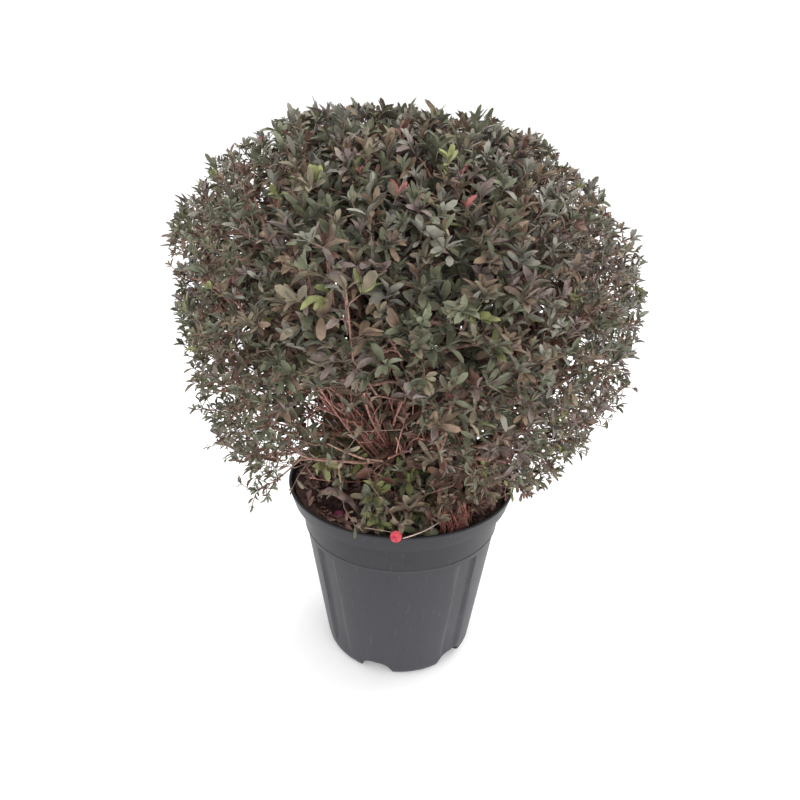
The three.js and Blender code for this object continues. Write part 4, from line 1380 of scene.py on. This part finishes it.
@dataclass
class Litter:
    """What has fallen in the pot's mouth: dry leaves, petals, a curl of bark, and bare and dead twigs."""

    mix: MixSurface
    fallen: int = 520
    leaf_mm: Pair = (9, 17)
    petals: tuple[Pair, ...] = ((-59, -60), (-52, -63))
    petal_radius: float = 4.6
    petal_thick: float = 0.3
    rim_petal_radius: float = 5.2
    rim_petal: Vector = field(default_factory=lambda: Vector((-3.8, -113.2, 197.2)))
    curl_from: Vector = field(default_factory=lambda: Vector((-83, -34, 173)))
    curl_to: Vector = field(default_factory=lambda: Vector((-38, -46, 173)))
    curl_rise: float = 17
    curl_width: float = 9
    curl_thick: float = 1.1
    curl_ragged: float = 1.6
    bare: tuple[Triple, ...] = (
        (-65, 96, 234),
        (-68, 80, 240),
        (-48, 78, 230),
        (-84, 90, 224),
        (-33, 66, 236),
        (-100, 84, 218),
        (-56, 104, 222),
    )
    dead_foot: Vector = field(default_factory=lambda: Vector((50, -76, 176)))
    dead_twiglets: int = 110
    stalk: Bend = Bend(Vector((2, -116.2, 197.6)), Vector((24, -111, 201)), Vector((38, -84, 196)))
    straw: Bend = Bend(Vector((-32, -101, 197)), Vector((-20, -106, 199)), Vector((-8, -106.5, 197)))
    inside_wall: float = 97

    def build(self) -> None:
        """Builds each kind of litter as a piece of its own."""
        source = random.Random(SEED + 3)
        self.build_leaves(source)
        self.build_petals(source)
        self.build_curl()
        self.build_twigs(source)

    def build_leaves(self, source: random.Random) -> None:
        """Scatters dry leaves over the mix, most of them on the left.

        Args:
            source: the seeded source of chance.
        """
        pile = LeafPile()
        for number in range(self.fallen):
            banked = number % 4 == 0
            out = source.uniform(80, 103) if banked else self.inside_wall * math.sqrt(source.random())
            turn = source.gauss(-60, 75) if source.random() < 0.6 else source.uniform(-180, 180)
            if banked:
                turn = source.uniform(-150, -35) if source.random() < 0.65 else source.uniform(50, 120)
            place = polar(turn, out, 0)
            if self.mix.from_pit(place.x, place.y) < self.mix.pit_radius + 6:
                continue
            place.z = self.mix.level(place.x, place.y) + source.uniform(1.0, 4.5)
            spin = Matrix.Rotation(source.uniform(0, 2 * math.pi), 3, "Z")
            ahead = spin @ Vector((1, 0, source.gauss(0, 0.3)))
            up = Vector((source.gauss(0, 0.35), source.gauss(0, 0.35), 1))
            ahead.normalize()
            up = (up - ahead * up.dot(ahead)).normalized()
            length = source.uniform(*self.leaf_mm)
            centre = place - ahead * length / 2
            wall = self.mix.radius - 2 + self.mix.wall_slope * self.mix.heaped(place.x, place.y)
            if max(centre.xy.length, (centre + ahead * length).xy.length) > wall:
                continue
            width = length * source.uniform(0.8, 1.2)
            pile.add(centre, ahead, up, length, width, length * source.uniform(-2.5, 3.5))
        keep("litter_leaves", pile.mesh(LeafBlade()), LEAF_LITTER, *ON_MIX)

    def build_petals(self, source: random.Random) -> None:
        """Lays the fallen petals: two on the mix, and a round one over the front of the rim.

        Args:
            source: the seeded source of chance.
        """
        bruised = bmesh.new()
        for x, y in self.petals:
            place = Vector((x, y, self.mix.level(x, y) + 3))
            self.lay_petal(bruised, place, self.petal_radius, source.uniform(-25, 25), 0)
        self.keep_petals("litter_petals", bruised, BRUISED_PETAL)
        fresh = bmesh.new()
        self.lay_petal(fresh, self.rim_petal, self.rim_petal_radius, 38, -0.8)
        self.keep_petals("litter_rim_petal", fresh, PETAL)

    def lay_petal(
        self, form: BMesh, place: Vector, size: float, tilt_deg: float, sink: float
    ) -> None:
        """Lays one cupped petal.

        Args:
            form: the bmesh that takes the petal.
            place: its middle.
            size: its radius.
            tilt_deg: how far it is tipped towards the front.
            sink: how far its middle is lowered before it is tipped.
        """
        made = bmesh.ops.create_circle(form, cap_ends=True, segments=14, radius=size)
        face = made["verts"][0].link_faces[0]
        inset = bmesh.ops.inset_region(form, faces=[face], thickness=size * 0.45)
        verts = list({vert for item in [face, *inset["faces"]] for vert in item.verts})
        for vert in verts:
            vert.co.z += 0.05 * (vert.co.x**2 + vert.co.y**2) / size + sink
        tilt = Matrix.Rotation(math.radians(tilt_deg), 4, "X")
        bmesh.ops.transform(form, matrix=Matrix.Translation(place) @ tilt, verts=verts)

    def keep_petals(self, name: str, form: BMesh, finish: Finish) -> None:
        """Thickens the petals and keeps them as a piece.

        Args:
            name: the piece's name.
            form: the bmesh with the petals.
            finish: their finish.
        """
        bmesh.ops.recalc_face_normals(form, faces=form.faces)
        bmesh.ops.solidify(form, geom=form.faces, thickness=self.petal_thick)
        keep(name, mesh_of(form, 60), finish, *ON_MIX)

    def build_curl(self) -> None:
        """Bends a strip of fallen bark into the arch that bridges a hollow at the left of the mix."""
        form = bmesh.new()
        bmesh.ops.create_grid(form, x_segments=16, y_segments=5, size=0.5)
        along = self.curl_to - self.curl_from
        foot = Vector((*self.curl_from.xy, self.mix.level(*self.curl_from.xy)))
        along.z = self.mix.level(*self.curl_to.xy) - self.mix.level(*self.curl_from.xy)
        across = Vector((-along.y, along.x, 0)).normalized()
        for vert in form.verts:
            share, side = vert.co.x + 0.5, vert.co.y
            arch = math.sin(math.pi * share) ** 0.7
            ragged = self.curl_ragged * noise.noise(Vector((share * 6, side * 2, 4)))
            place = foot + along * share + across * (side * self.curl_width * (0.75 + 0.4 * arch) + ragged)
            place.z += self.curl_rise * arch * (1 - 1.4 * side * side) + 1.2 * ragged
            vert.co = place
        bmesh.ops.recalc_face_normals(form, faces=form.faces)
        bmesh.ops.solidify(form, geom=form.faces, thickness=self.curl_thick)
        keep("litter_bark_curl", mesh_of(form, 60), BARK_STRIP, *ON_MIX)

    def build_twigs(self, source: random.Random) -> None:
        """Grows the bare twigs on the left, the dead twiglets in front and the pale stalk over the rim.

        Args:
            source: the seeded source of chance.
        """
        bare = []
        for direction, out, height in self.bare:
            start = polar(direction * 0.6, 13, 190 + 10 * source.random())
            end = polar(direction, out, height)
            path = Bend(start, start.lerp(end, 0.55) - Vector((0, 0, 11)), end)
            bare.append(Twig(path, 1.0, 0.45))
            for share in (0.55, 0.75, 0.9):
                root = path.raw(share)
                tip = root + polar(direction + source.uniform(-60, 60), 9, 9 + 5 * source.random())
                bare.append(Twig(bend(root, polar(direction, 0.8, 0.3), tip, 0.3), 0.5, 0.3))
        keep("twigs_bare", TwigBundle(6, 8).mesh(bare), SHOOT_WOOD, *IN_CROWN)
        dead = []
        for _ in range(self.dead_twiglets):
            root = self.dead_foot + Vector([source.uniform(*ends) for ends in ((-14, 16), (-12, 12), (0, 6))])
            tip = root + Vector([source.uniform(*ends) for ends in ((-10, 10), (-12, 6), (10, 34))])
            for place in (root, tip):
                place.xy *= min(1.0, self.inside_wall / place.xy.length)
            dead.append(Twig(bend(root, Vector((0.12, -0.06, 1)), tip, 0.4), 0.65, 0.35))
        keep("twigs_dead", TwigBundle(4, 4).mesh(dead), DEAD_WOOD, *ON_MIX)
        pale = [Twig(self.stalk, 0.5, 0.6), Twig(self.straw, 0.35, 0.25)]
        keep("stalk_pale", TwigBundle(8, 10).mesh(pale), PALE_STALK, *ON_MIX)


# Limbs and twigs in their meshes


@dataclass
class BarkedLimbs:
    """The trunk, the main stems and the boughs, with the bark's relief in their meshes."""

    wood: ShrubWood
    trunk_foot: float = 17
    trunk_waist: float = 12.5
    trunk_top: float = 10.5
    limb_cracks: float = 0.45

    def bark(self, seed: float, depth: float, share: float, angle: float) -> float:
        """Returns the relief of a limb's bark: long ridges with cracks.

        Args:
            seed: which stretch of bark.
            depth: how deep the cracks are, in millimetres.
            share: the share of the limb's length.
            angle: the angle round it.

        Returns:
            The height of the bark there, in millimetres.
        """
        place = Vector((math.cos(angle) * 2.4, math.sin(angle) * 2.4, share * 4 + seed))
        return depth * noise.fractal(place, 1.0, 2.0, 3)

    def flare(self, share: float, angle: float) -> float:
        """Returns what the trunk's flare, buttresses and bark add to its radius.

        Args:
            share: the share of the trunk's length.
            angle: the angle round it.

        Returns:
            The added radius.
        """
        spread = (self.trunk_foot - self.trunk_waist) * max(0.0, 1 - share * 2.6) ** 2
        ridge = 0.1 * self.trunk_waist * max(0.0, 1 - 2 * share) * math.cos(angle * 5)
        return spread + ridge + self.bark(3.0, 1.0, share, angle) * (1 - 0.3 * share)

    def grow(
        self,
        form: BMesh,
        limb: Limb,
        sides: int,
        rings: int,
        relief: Callable[[float, float], float],
    ) -> None:
        """Extrudes a ring along a limb's path, ring by ring, and closes its two ends.

        Args:
            form: the bmesh that takes the limb.
            limb: the limb.
            sides: the number of points round it.
            rings: the number of stretches along it.
            relief: what the bark adds to the radius, by share of the length and angle.
        """
        made = bmesh.ops.create_circle(form, cap_ends=True, segments=sides, radius=1.0)
        ring = made["verts"]
        edges = list({edge for vert in ring for edge in vert.link_edges})
        spokes = [vert.co.copy() for vert in ring]
        side = limb.path.heading(0.5).orthogonal().normalized()
        spots: list[Vector] = []
        for i in range(rings + 1):
            share = i / rings
            centre, ahead = limb.path.at(share), limb.path.heading(share)
            side = (side - ahead * side.dot(ahead)).normalized()
            across = ahead.cross(side)
            if i:
                moved = bmesh.ops.extrude_edge_only(form, edges=edges)["geom"]
                edges = parts(moved, BMEdge)
                ring = parts(moved, BMVert)
                ring.sort(
                    key=lambda vert: min(range(sides), key=lambda k: (spots[k] - vert.co).length_squared)
                )
            radius = limb.root_radius + (limb.tip_radius - limb.root_radius) * share
            for spoke, vert in zip(spokes, ring):
                reach = radius + relief(share, math.atan2(spoke.y, spoke.x))
                vert.co = centre + (side * spoke.x + across * spoke.y) * reach
            spots = [vert.co.copy() for vert in ring]
        bmesh.ops.contextual_create(form, geom=edges)

    def build(self) -> None:
        """Builds the trunk and the limbs as two barked pieces."""
        form = bmesh.new()
        trunk = Limb("trunk", self.wood.trunk_path(), self.trunk_waist, self.trunk_top)
        self.grow(form, trunk, 28, 18, self.flare)
        bmesh.ops.recalc_face_normals(form, faces=form.faces)
        keep("trunk_bark", mesh_of(form, 60), OLD_BARK, ["trunk"], "bark")
        form = bmesh.new()
        for number, limb in enumerate(self.wood.limbs):
            self.grow(form, limb, 12, 24, partial(self.bark, number * 1.7, self.limb_cracks))
        bmesh.ops.recalc_face_normals(form, faces=form.faces)
        keep("limb_bark", mesh_of(form, 60), OLD_BARK, LIMB_NODES, "bark")


@dataclass
class Twigs:
    """The twigs of every mass, and the bare shoots inside the crown, as slender tubes."""

    wood: ShrubWood
    bare_shoots: int = 20
    bare_first_deg: float = -98
    bare_step_deg: float = 8.3
    bare_out: Pair = (62, 52)
    bare_height: Pair = (262, 120)
    bare_radius: Pair = (1.1, 0.8)
    bare_around: int = 44
    around_out: Pair = (96, 62)
    around_height: Pair = (268, 100)
    side_twigs: int = 4
    tall: tuple[Triple, ...] = (
        (-21, 128, 415),
        (-31, 138, 402),
        (-5, 120, 412),
        (14, 124, 400),
        (-44, 142, 380),
        (34, 136, 384),
        (-28, 122, 448),
        (-34, 116, 462),
        (-38, 118, 440),
    )

    def inner_shoots(self) -> list[Twig]:
        """Grows the bare shoots that fan up from the trunk, most of them behind the open front.

        Returns:
            The shoots, with four side twigs on each.
        """
        trunk = self.wood.trunk_path()
        ends = [Vector(polar(*place)) for place in self.tall]
        for i in range(self.bare_shoots):
            turn = self.bare_first_deg + i * self.bare_step_deg + 8 * chance(i + 1, 17)
            out = between(self.bare_out, chance(i + 1, 23))
            ends.append(polar(turn, out, between(self.bare_height, chance(i + 1, 29))))
        for i in range(self.bare_around):
            turn = math.degrees(i * GOLDEN_ANGLE)
            out = between(self.around_out, chance(i + 1, 37))
            ends.append(polar(turn, out, between(self.around_height, chance(i + 1, 39))))
        stems = [limb.path for limb in self.wood.limbs if limb.name.startswith("main_stem")]
        shoots = []
        for i, end in enumerate(ends):
            out = Vector((end.x, end.y, 0)).normalized()
            start = trunk.at(0.35 + 0.55 * chance(i + 1, 19)) + out * 6
            if i % 3 == 0:
                nearest = min(stems, key=lambda path: (path.raw(0.5) - end).length)
                start = nearest.raw(0.1 + 0.4 * chance(i + 1, 47))
            aside = out.cross(Vector((0, 0, 1))) * (chance(i + 1, 51) - 0.5)
            heading = (out * (0.2 + 0.8 * chance(i + 1, 53)) + aside + Vector((0, 0, 1))).normalized()
            radius = between(self.bare_radius, chance(i + 1, 57))
            path = bend(start, heading, end, 0.28 + 0.3 * chance(i + 1, 59))
            shoots.append(Twig(path, radius, radius * 0.5, 2))
            turn = math.degrees(math.atan2(out.x, -out.y))
            for k in range(self.side_twigs):
                root = path.raw(0.35 + 0.16 * k)
                tip = root + polar(turn + 110 * (chance(k + 1, i) - 0.5), 16, 22 + 16 * chance(i + 1, k))
                shoots.append(Twig(bend(root, polar(turn, 0.7, 0.7), tip, 0.35), 0.65, 0.35))
        return shoots

    def build(self) -> None:
        """Builds the twigs in three pieces: the bare shoots, the forking twigs and the last ones."""
        shoots = self.inner_shoots()
        forking = [twig for twig in self.wood.twigs if twig.carries > 1]
        last = [twig for twig in self.wood.twigs if twig.carries == 1]
        keep("twigs_shoots", TwigBundle(5, 5).mesh(shoots), SHOOT_WOOD, *IN_CROWN)
        keep("twigs_forking", TwigBundle(4, 3).mesh(forking), YOUNG_WOOD, *IN_CROWN)
        keep("twigs_last", TwigBundle(3, 2).mesh(last), THIN_WOOD, *IN_CROWN)
        self.wood.twigs += [twig for twig in shoots if twig.carries == 1]


# Leaves


@dataclass
class LeafBlade:
    """The blade of one leaf, one unit long, which every leaf repeats."""

    width: float = 0.38
    fold: float = 0.09
    droop: float = 0.12
    stations: tuple[float, ...] = (0.0, 0.25, 0.55, 0.86, 1.0)
    widest_at: float = 0.58

    def half_width(self, along: float) -> float:
        """Returns half the blade's width: widest past the middle, with a blunt tip.

        Args:
            along: the share of the blade's length.

        Returns:
            Half the width there.
        """
        if along < self.widest_at:
            return self.width / 2 * math.sin(math.pi / 2 * along / self.widest_at) ** 1.15
        past = (along - self.widest_at) / (1 - self.widest_at)
        return self.width / 2 * math.sqrt(max(0.0, 1 - past**2.2))

    def template(self) -> tuple[np.ndarray, np.ndarray]:
        """Shapes the blade from a grid.

        Returns:
            The blade's points, and its triangles.
        """
        form = bmesh.new()
        stretches = len(self.stations) - 1
        bmesh.ops.create_grid(form, x_segments=stretches, y_segments=2, size=0.5)
        for vert in form.verts:
            along, side = self.stations[round((vert.co.x + 0.5) * stretches)], round(vert.co.y * 2)
            half = self.half_width(along)
            lift = self.fold * abs(side) * math.sin(math.pi * along) - self.droop * along**2
            vert.co = Vector((along, side * half, lift))
        bmesh.ops.remove_doubles(form, verts=form.verts, dist=1e-4)
        bmesh.ops.triangulate(form, faces=form.faces)
        form.verts.index_update()
        points = np.array([tuple(vert.co) for vert in form.verts])
        faces = np.array([[vert.index for vert in face.verts] for face in form.faces])
        form.free()
        return points, faces


@dataclass
class LeafPile:
    """The frames of many leaves, which become one mesh."""

    axes: list[np.ndarray] = field(default_factory=list)
    roots: list[np.ndarray] = field(default_factory=list)

    def add(self, root: Vector, ahead: Vector, up: Vector, length: float, width: float, curl: float) -> None:
        """Adds a leaf.

        Args:
            root: where its base is.
            ahead: the direction of its midrib.
            up: the direction that its upper side faces.
            length: its length.
            width: its width, as a share of the template's, times the length.
            curl: its fold and droop, as shares of the template's, times the length.
        """
        sides = ((ahead, length), (up.cross(ahead), width), (up, curl))
        self.axes.append(np.column_stack([np.array(axis) * size for axis, size in sides]))
        self.roots.append(np.array(root))

    def mesh(self, blade: LeafBlade) -> bpy.types.Mesh:
        """Joins the leaves into one mesh.

        Args:
            blade: the blade that they repeat.

        Returns:
            The mesh, of triangles.
        """
        outline, faces = blade.template()
        points = np.einsum("nij,pj->npi", np.array(self.axes), outline) + np.array(self.roots)[:, None, :]
        shift = np.arange(len(self.roots))[:, None, None] * len(outline)
        return mesh_from(points.reshape(-1, 3), (faces[None] + shift).reshape(-1, 3))


@dataclass
class Foliage:
    """All the leaves: whorls at the twig ends and leaves along the twigs, joined by tint."""

    wood: ShrubWood
    length: float = 14.4
    longest: float = 19.5
    sizes: Pair = (0.68, 1.32)
    spray_sizes: Pair = (0.76, 1.22)
    widths: Pair = (0.78, 1.14)
    curls: Pair = (0.2, 2.4)
    per_whorl: tuple[int, int] = (5, 8)
    whorl_step: float = 0.3
    whorl_opens: Pair = (14, 50)
    first_leaves: float = 0.72
    behind: tuple[int, int] = (2, 4)
    behind_step: float = 3.8
    behind_opens: float = 52
    patch_mm: float = 55
    red_share: float = 0.002
    stray_share: float = 0.14
    opened: float = 0.72
    outer_shells: Pair = (0.86, 0.7)
    low_shoot_top: float = 243
    low_shoot_out: float = 108
    reds: tuple[Pair, ...] = (
        (-4, 485),
        (44, 483),
        (21, 441),
        (-16, 387),
        (-110, 423),
        (40, 345),
        (-29, 510),
    )
    limes: tuple[Pair, ...] = ((-59, 425), (-48, 421), (-33, 427), (48, 408))
    mark_within: float = 8
    marked_leaves: tuple[int, ...] = (0, 1, 3)
    marked: dict[int, Tint] = field(default_factory=dict)
    piles: dict[Tint, LeafPile] = field(default_factory=lambda: {tint: LeafPile() for tint in Tint})

    def inside(self, place: Vector) -> float:
        """Tells how far inside the crown a place is.

        Args:
            place: the place.

        Returns:
            0 in the outer shells, and 1 behind them.
        """
        out = place - self.wood.crown.focus
        return ease(*self.outer_shells, out.length / max(1.0, self.wood.crown.reach(out.normalized())))

    def left_out(self, place: Vector, source: random.Random) -> bool:
        """Tells whether a leaf is left out, in the hollows of the front.

        Args:
            place: the middle of the leaf.
            source: the seeded source of chance.

        Returns:
            True where it is.
        """
        if place.y > self.wood.front_ends or self.on_low_shoot(place):
            return False
        return source.random() < self.opened * max(opening.share_at(place) for opening in OPENINGS)

    def on_low_shoot(self, place: Vector) -> bool:
        """Returns True where a place is among the low shoots over the mix."""
        return place.z < self.low_shoot_top and math.hypot(place.x, place.y) < self.low_shoot_out

    def mark(self) -> None:
        """Marks the sprays that carry a red leaf, or are yellow-green, at their places in the front."""
        ends = [twig for twig in self.wood.twigs if twig.carries == 1 and twig.path.end.y < 0]
        for tint, spots in ((Tint.RED, self.reds), (Tint.LIME, self.limes)):
            for spot in spots:
                near = [twig for twig in ends if math.dist(on_front(twig.path.end), spot) < self.mark_within]
                if near:
                    self.marked[id(min(near, key=lambda twig: twig.path.end.y))] = tint

    def pick(self, place: Vector, source: random.Random) -> Tint:
        """Picks the tint of a spray by where it is in the crown.

        Args:
            place: where the spray is.
            source: the seeded source of chance.

        Returns:
            The tint.
        """
        patch = noise.fractal(place / self.patch_mm, 1.0, 2.0, 2)
        warm = min(1.0, max(0.0, 0.45 + 0.002 * place.x + 0.001 * (place.z - 380) + 0.75 * patch))
        # Browner, darker tints low in the front middle, under the crown: partly old dry leaves, partly
        # painted shade.
        low = ease(330, 260, place.z) * ease(150, 60, abs(place.x))
        # Greyer tints towards the top and the right, and none deep inside: partly the waxy bloom's own grey,
        # partly painted sheen where the leaves catch the light.
        grey = min(1.0, max(0.0, 0.4 + 0.003 * place.x + 0.003 * (place.z - 400)))
        deep = self.inside(place)
        middle = ease(120, 50, abs(place.x)) * ease(530, 480, place.z)
        shares = {
            Tint.DARK_GREEN: 0.28 * (1 - warm) + 0.12 * warm + 0.1 * deep + 0.08 * middle * (1 - low),
            Tint.MID_GREEN: 0.23 * (1 - warm) + 0.1 * warm - 0.08 * deep - 0.05 * grey,
            Tint.GREY_GREEN: (0.14 + 0.16 * grey) * (1 - deep) * (1 - 0.7 * low) * (1 - 0.35 * middle),
            Tint.OLIVE: 0.25 - 0.13 * grey,
            Tint.BRONZE: 0.1 + 0.1 * warm + 0.32 * low,
            Tint.PLUM: (0.02 + 0.17 * warm + 0.06 * grey) * (1 - deep),
            Tint.LIME: 0.01 * (1 - deep),
            Tint.DRY: 0.03 + 0.4 * deep + 0.32 * low,
        }
        if self.on_low_shoot(place):
            dry = ease(20, 42, place.x) if place.y < 20 else 0.2
            shares = {
                Tint.LIME: 0.24 * (1 - dry),
                Tint.OLIVE: 0.42 - 0.15 * dry,
                Tint.MID_GREEN: 0.16 * (1 - dry) + 0.04,
                Tint.DRY: 0.1 + 0.4 * dry,
                Tint.BRONZE: 0.1 + 0.26 * dry,
            }
        return source.choices(list(shares), [max(0.0, share) for share in shares.values()])[0]

    def build(self) -> None:
        """Builds the leaves, one piece for each tint."""
        source = random.Random(SEED + 2)
        self.mark()
        for twig in self.wood.twigs:
            if twig.carries == 1:
                tint = self.pick(twig.path.end, source)
                self.whorl(twig, Tint.LIME if self.marked.get(id(twig)) == Tint.LIME else tint, source)
        blade = LeafBlade()
        for tint, pile in self.piles.items():
            keep(f"leaves_{tint.name.lower()}", pile.mesh(blade), tint.value, FOLIAGE_NODES, tint.slot)
        LOG.info("leaves: %d", sum(len(pile.roots) for pile in self.piles.values()))

    def whorl(self, twig: Twig, tint: Tint, source: random.Random) -> None:
        """Places the leaves of one twig end: a whorl at its tip and a few leaves behind it.

        Args:
            twig: the twig.
            tint: the spray's tint.
            source: the seeded source of chance.
        """
        tip = twig.path.end
        heading = (twig.path.end - twig.path.handle).normalized()
        heading = (heading + Vector((0, 0, 0.35))).normalized()
        across = heading.orthogonal().normalized()
        deep = self.inside(tip)
        low = ease(400, 290, tip.z)
        side = ease(35, 135, math.hypot(tip.x, max(0.0, tip.y)))
        fine = max(0.9 * low, side, 0.45 * ease(430, 510, tip.z))
        if self.on_low_shoot(tip):
            low, fine = 0.0, 0.2 + 0.4 * ease(20, 60, tip.x)
        fine *= 1 - deep
        count = source.randint(*self.per_whorl) - round(1.4 * low)
        behind = source.randint(*self.behind) + round(1.2 * fine)
        start = source.uniform(0, 2 * math.pi)
        span = (tip - twig.path.start).length
        spray = source.uniform(*self.spray_sizes) * (1 - 0.42 * fine) * (1 + 0.3 * deep)
        for k in range(count + behind):
            in_whorl = k < count
            back = self.whorl_step * k if in_whorl else 2.6 + self.behind_step * (k - count + 1)
            if back > span * 0.9:
                break
            opening = between(self.whorl_opens, (k / count) ** 0.9) if in_whorl else self.behind_opens
            spread = math.radians(opening + source.gauss(0, 13))
            turn = start + k * GOLDEN_ANGLE + source.gauss(0, 0.3)
            side = Matrix.Rotation(turn, 3, heading) @ across
            ahead = heading * math.cos(spread) + side * math.sin(spread)
            ahead = (ahead + Vector((0, 0, source.gauss(0.05, 0.15)))).normalized()
            up = heading * 0.6 + Vector((0, 0, 0.75)) + Vector([source.gauss(0, 0.42) for _ in range(3)])
            up = (up - ahead * up.dot(ahead)).normalized()
            length = self.length * spray * source.uniform(*self.sizes) * (self.first_leaves if k < 2 else 1.0)
            length = min(length, self.longest)
            width = length * source.uniform(*self.widths) * (1 - 0.18 * fine)
            curl = length * source.uniform(*self.curls)
            leaf = self.pick(tip, source) if source.random() < self.stray_share else tint
            marked = self.marked.get(id(twig)) == Tint.RED and k in self.marked_leaves
            if source.random() < self.red_share or marked:
                leaf = Tint.RED
            root = twig.path.raw(1 - 0.9 * back / max(span, 1))
            if not self.left_out(root + ahead * length / 2, source):
                self.piles[leaf].add(root, ahead, up, length, width, curl)


# The studio


@dataclass
class Studio:
    """The pale floor, the soft lights and the camera of the photograph."""

    focal_px: float = 664.0
    frame_px: float = 800.0
    eye: Triple = EYE_MM
    pitch_deg: float = 22.5
    roll_deg: float = 1.24
    centre_px: Pair = (403.6, 385.0)
    sensor_mm: float = 36.0
    floor_half: float = 6.0
    floor_glow: float = 0.12
    air_strength: float = 1.1
    aim: Triple = (0.0, 0.0, 0.3)
    lamps: tuple[tuple[str, Triple, float, float], ...] = (
        ("overhead", (0.1, 0.1, 2.4), 2.0, 20.0),
        ("front_left", (-1.1, -1.7, 1.5), 1.8, 7.0),
        ("front_right", (0.9, -1.8, 1.1), 1.8, 15.0),
        ("back_right", (1.5, 1.0, 1.4), 1.8, 16.0),
    )

    def build(self) -> None:
        """Builds the floor, the world, the lights and the camera."""
        self.floor()
        self.lights()
        self.camera()

    def floor(self) -> None:
        """Builds the plain pale floor."""
        form = bmesh.new()
        bmesh.ops.create_grid(form, x_segments=2, y_segments=2, size=self.floor_half)
        floor = linked("studio_floor", mesh_of(form, scale=1))
        paper = Finish("matt_studio_paper", "f9f9f9", "fbfbfb", 0.95, 1.4, 300.0, 0.01).build()
        lit = paper.node_tree.nodes["Principled BSDF"]
        lit.inputs["Emission Color"].default_value = (1.0, 1.0, 1.0, 1.0)
        lit.inputs["Emission Strength"].default_value = self.floor_glow
        floor.data.materials.append(paper)

    def lights(self) -> None:
        """Sets the world, the large soft lights and a plain view transform that keeps white paper white."""
        bpy.context.scene.view_settings.view_transform = "Standard"
        world = bpy.data.worlds.new("studio_air")
        bpy.context.scene.world = world
        world.use_nodes = True
        air = world.node_tree.nodes["Background"]
        air.inputs["Color"].default_value = (1.0, 1.0, 1.0, 1.0)
        air.inputs["Strength"].default_value = self.air_strength
        for name, place, size, power in self.lamps:
            light = bpy.data.lights.new(name, "AREA")
            light.shape = "DISK"
            light.size = size
            light.energy = power
            lamp = linked(name, light)
            lamp.location = place
            lamp.rotation_euler = (Vector(self.aim) - Vector(place)).to_track_quat("-Z", "Y").to_euler()

    def camera(self) -> None:
        """Places the camera where the pot's rim and foot show that the photograph was taken from."""
        camera = bpy.data.cameras.new("photo_view")
        camera.sensor_fit = "HORIZONTAL"
        camera.sensor_width = self.sensor_mm
        camera.lens = self.sensor_mm * self.focal_px / self.frame_px
        camera.shift_x = (self.frame_px / 2 - self.centre_px[0]) / self.frame_px
        camera.shift_y = (self.centre_px[1] - self.frame_px / 2) / self.frame_px
        camera.clip_start = 0.01
        eye = linked("photo_view", camera)
        eye.location = Vector(self.eye) * MM
        tilt = Matrix.Rotation(math.radians(90 - self.pitch_deg), 4, "X")
        roll = Matrix.Rotation(math.radians(self.roll_deg), 4, "Z")
        eye.rotation_euler = (tilt @ roll).to_euler()
        bpy.context.scene.camera = eye


def main() -> None:
    """Builds the pot, the mix, the wood, the leaves and the studio, in order."""
    wood = ShrubWood()
    wood.grow()
    Pot().build()
    mix = MixSurface()
    mix.build()
    Litter(mix).build()
    BarkedLimbs(wood).build()
    Twigs(wood).build()
    Foliage(wood).build()
    Studio().build()


if __name__ == "__main__":
    main()
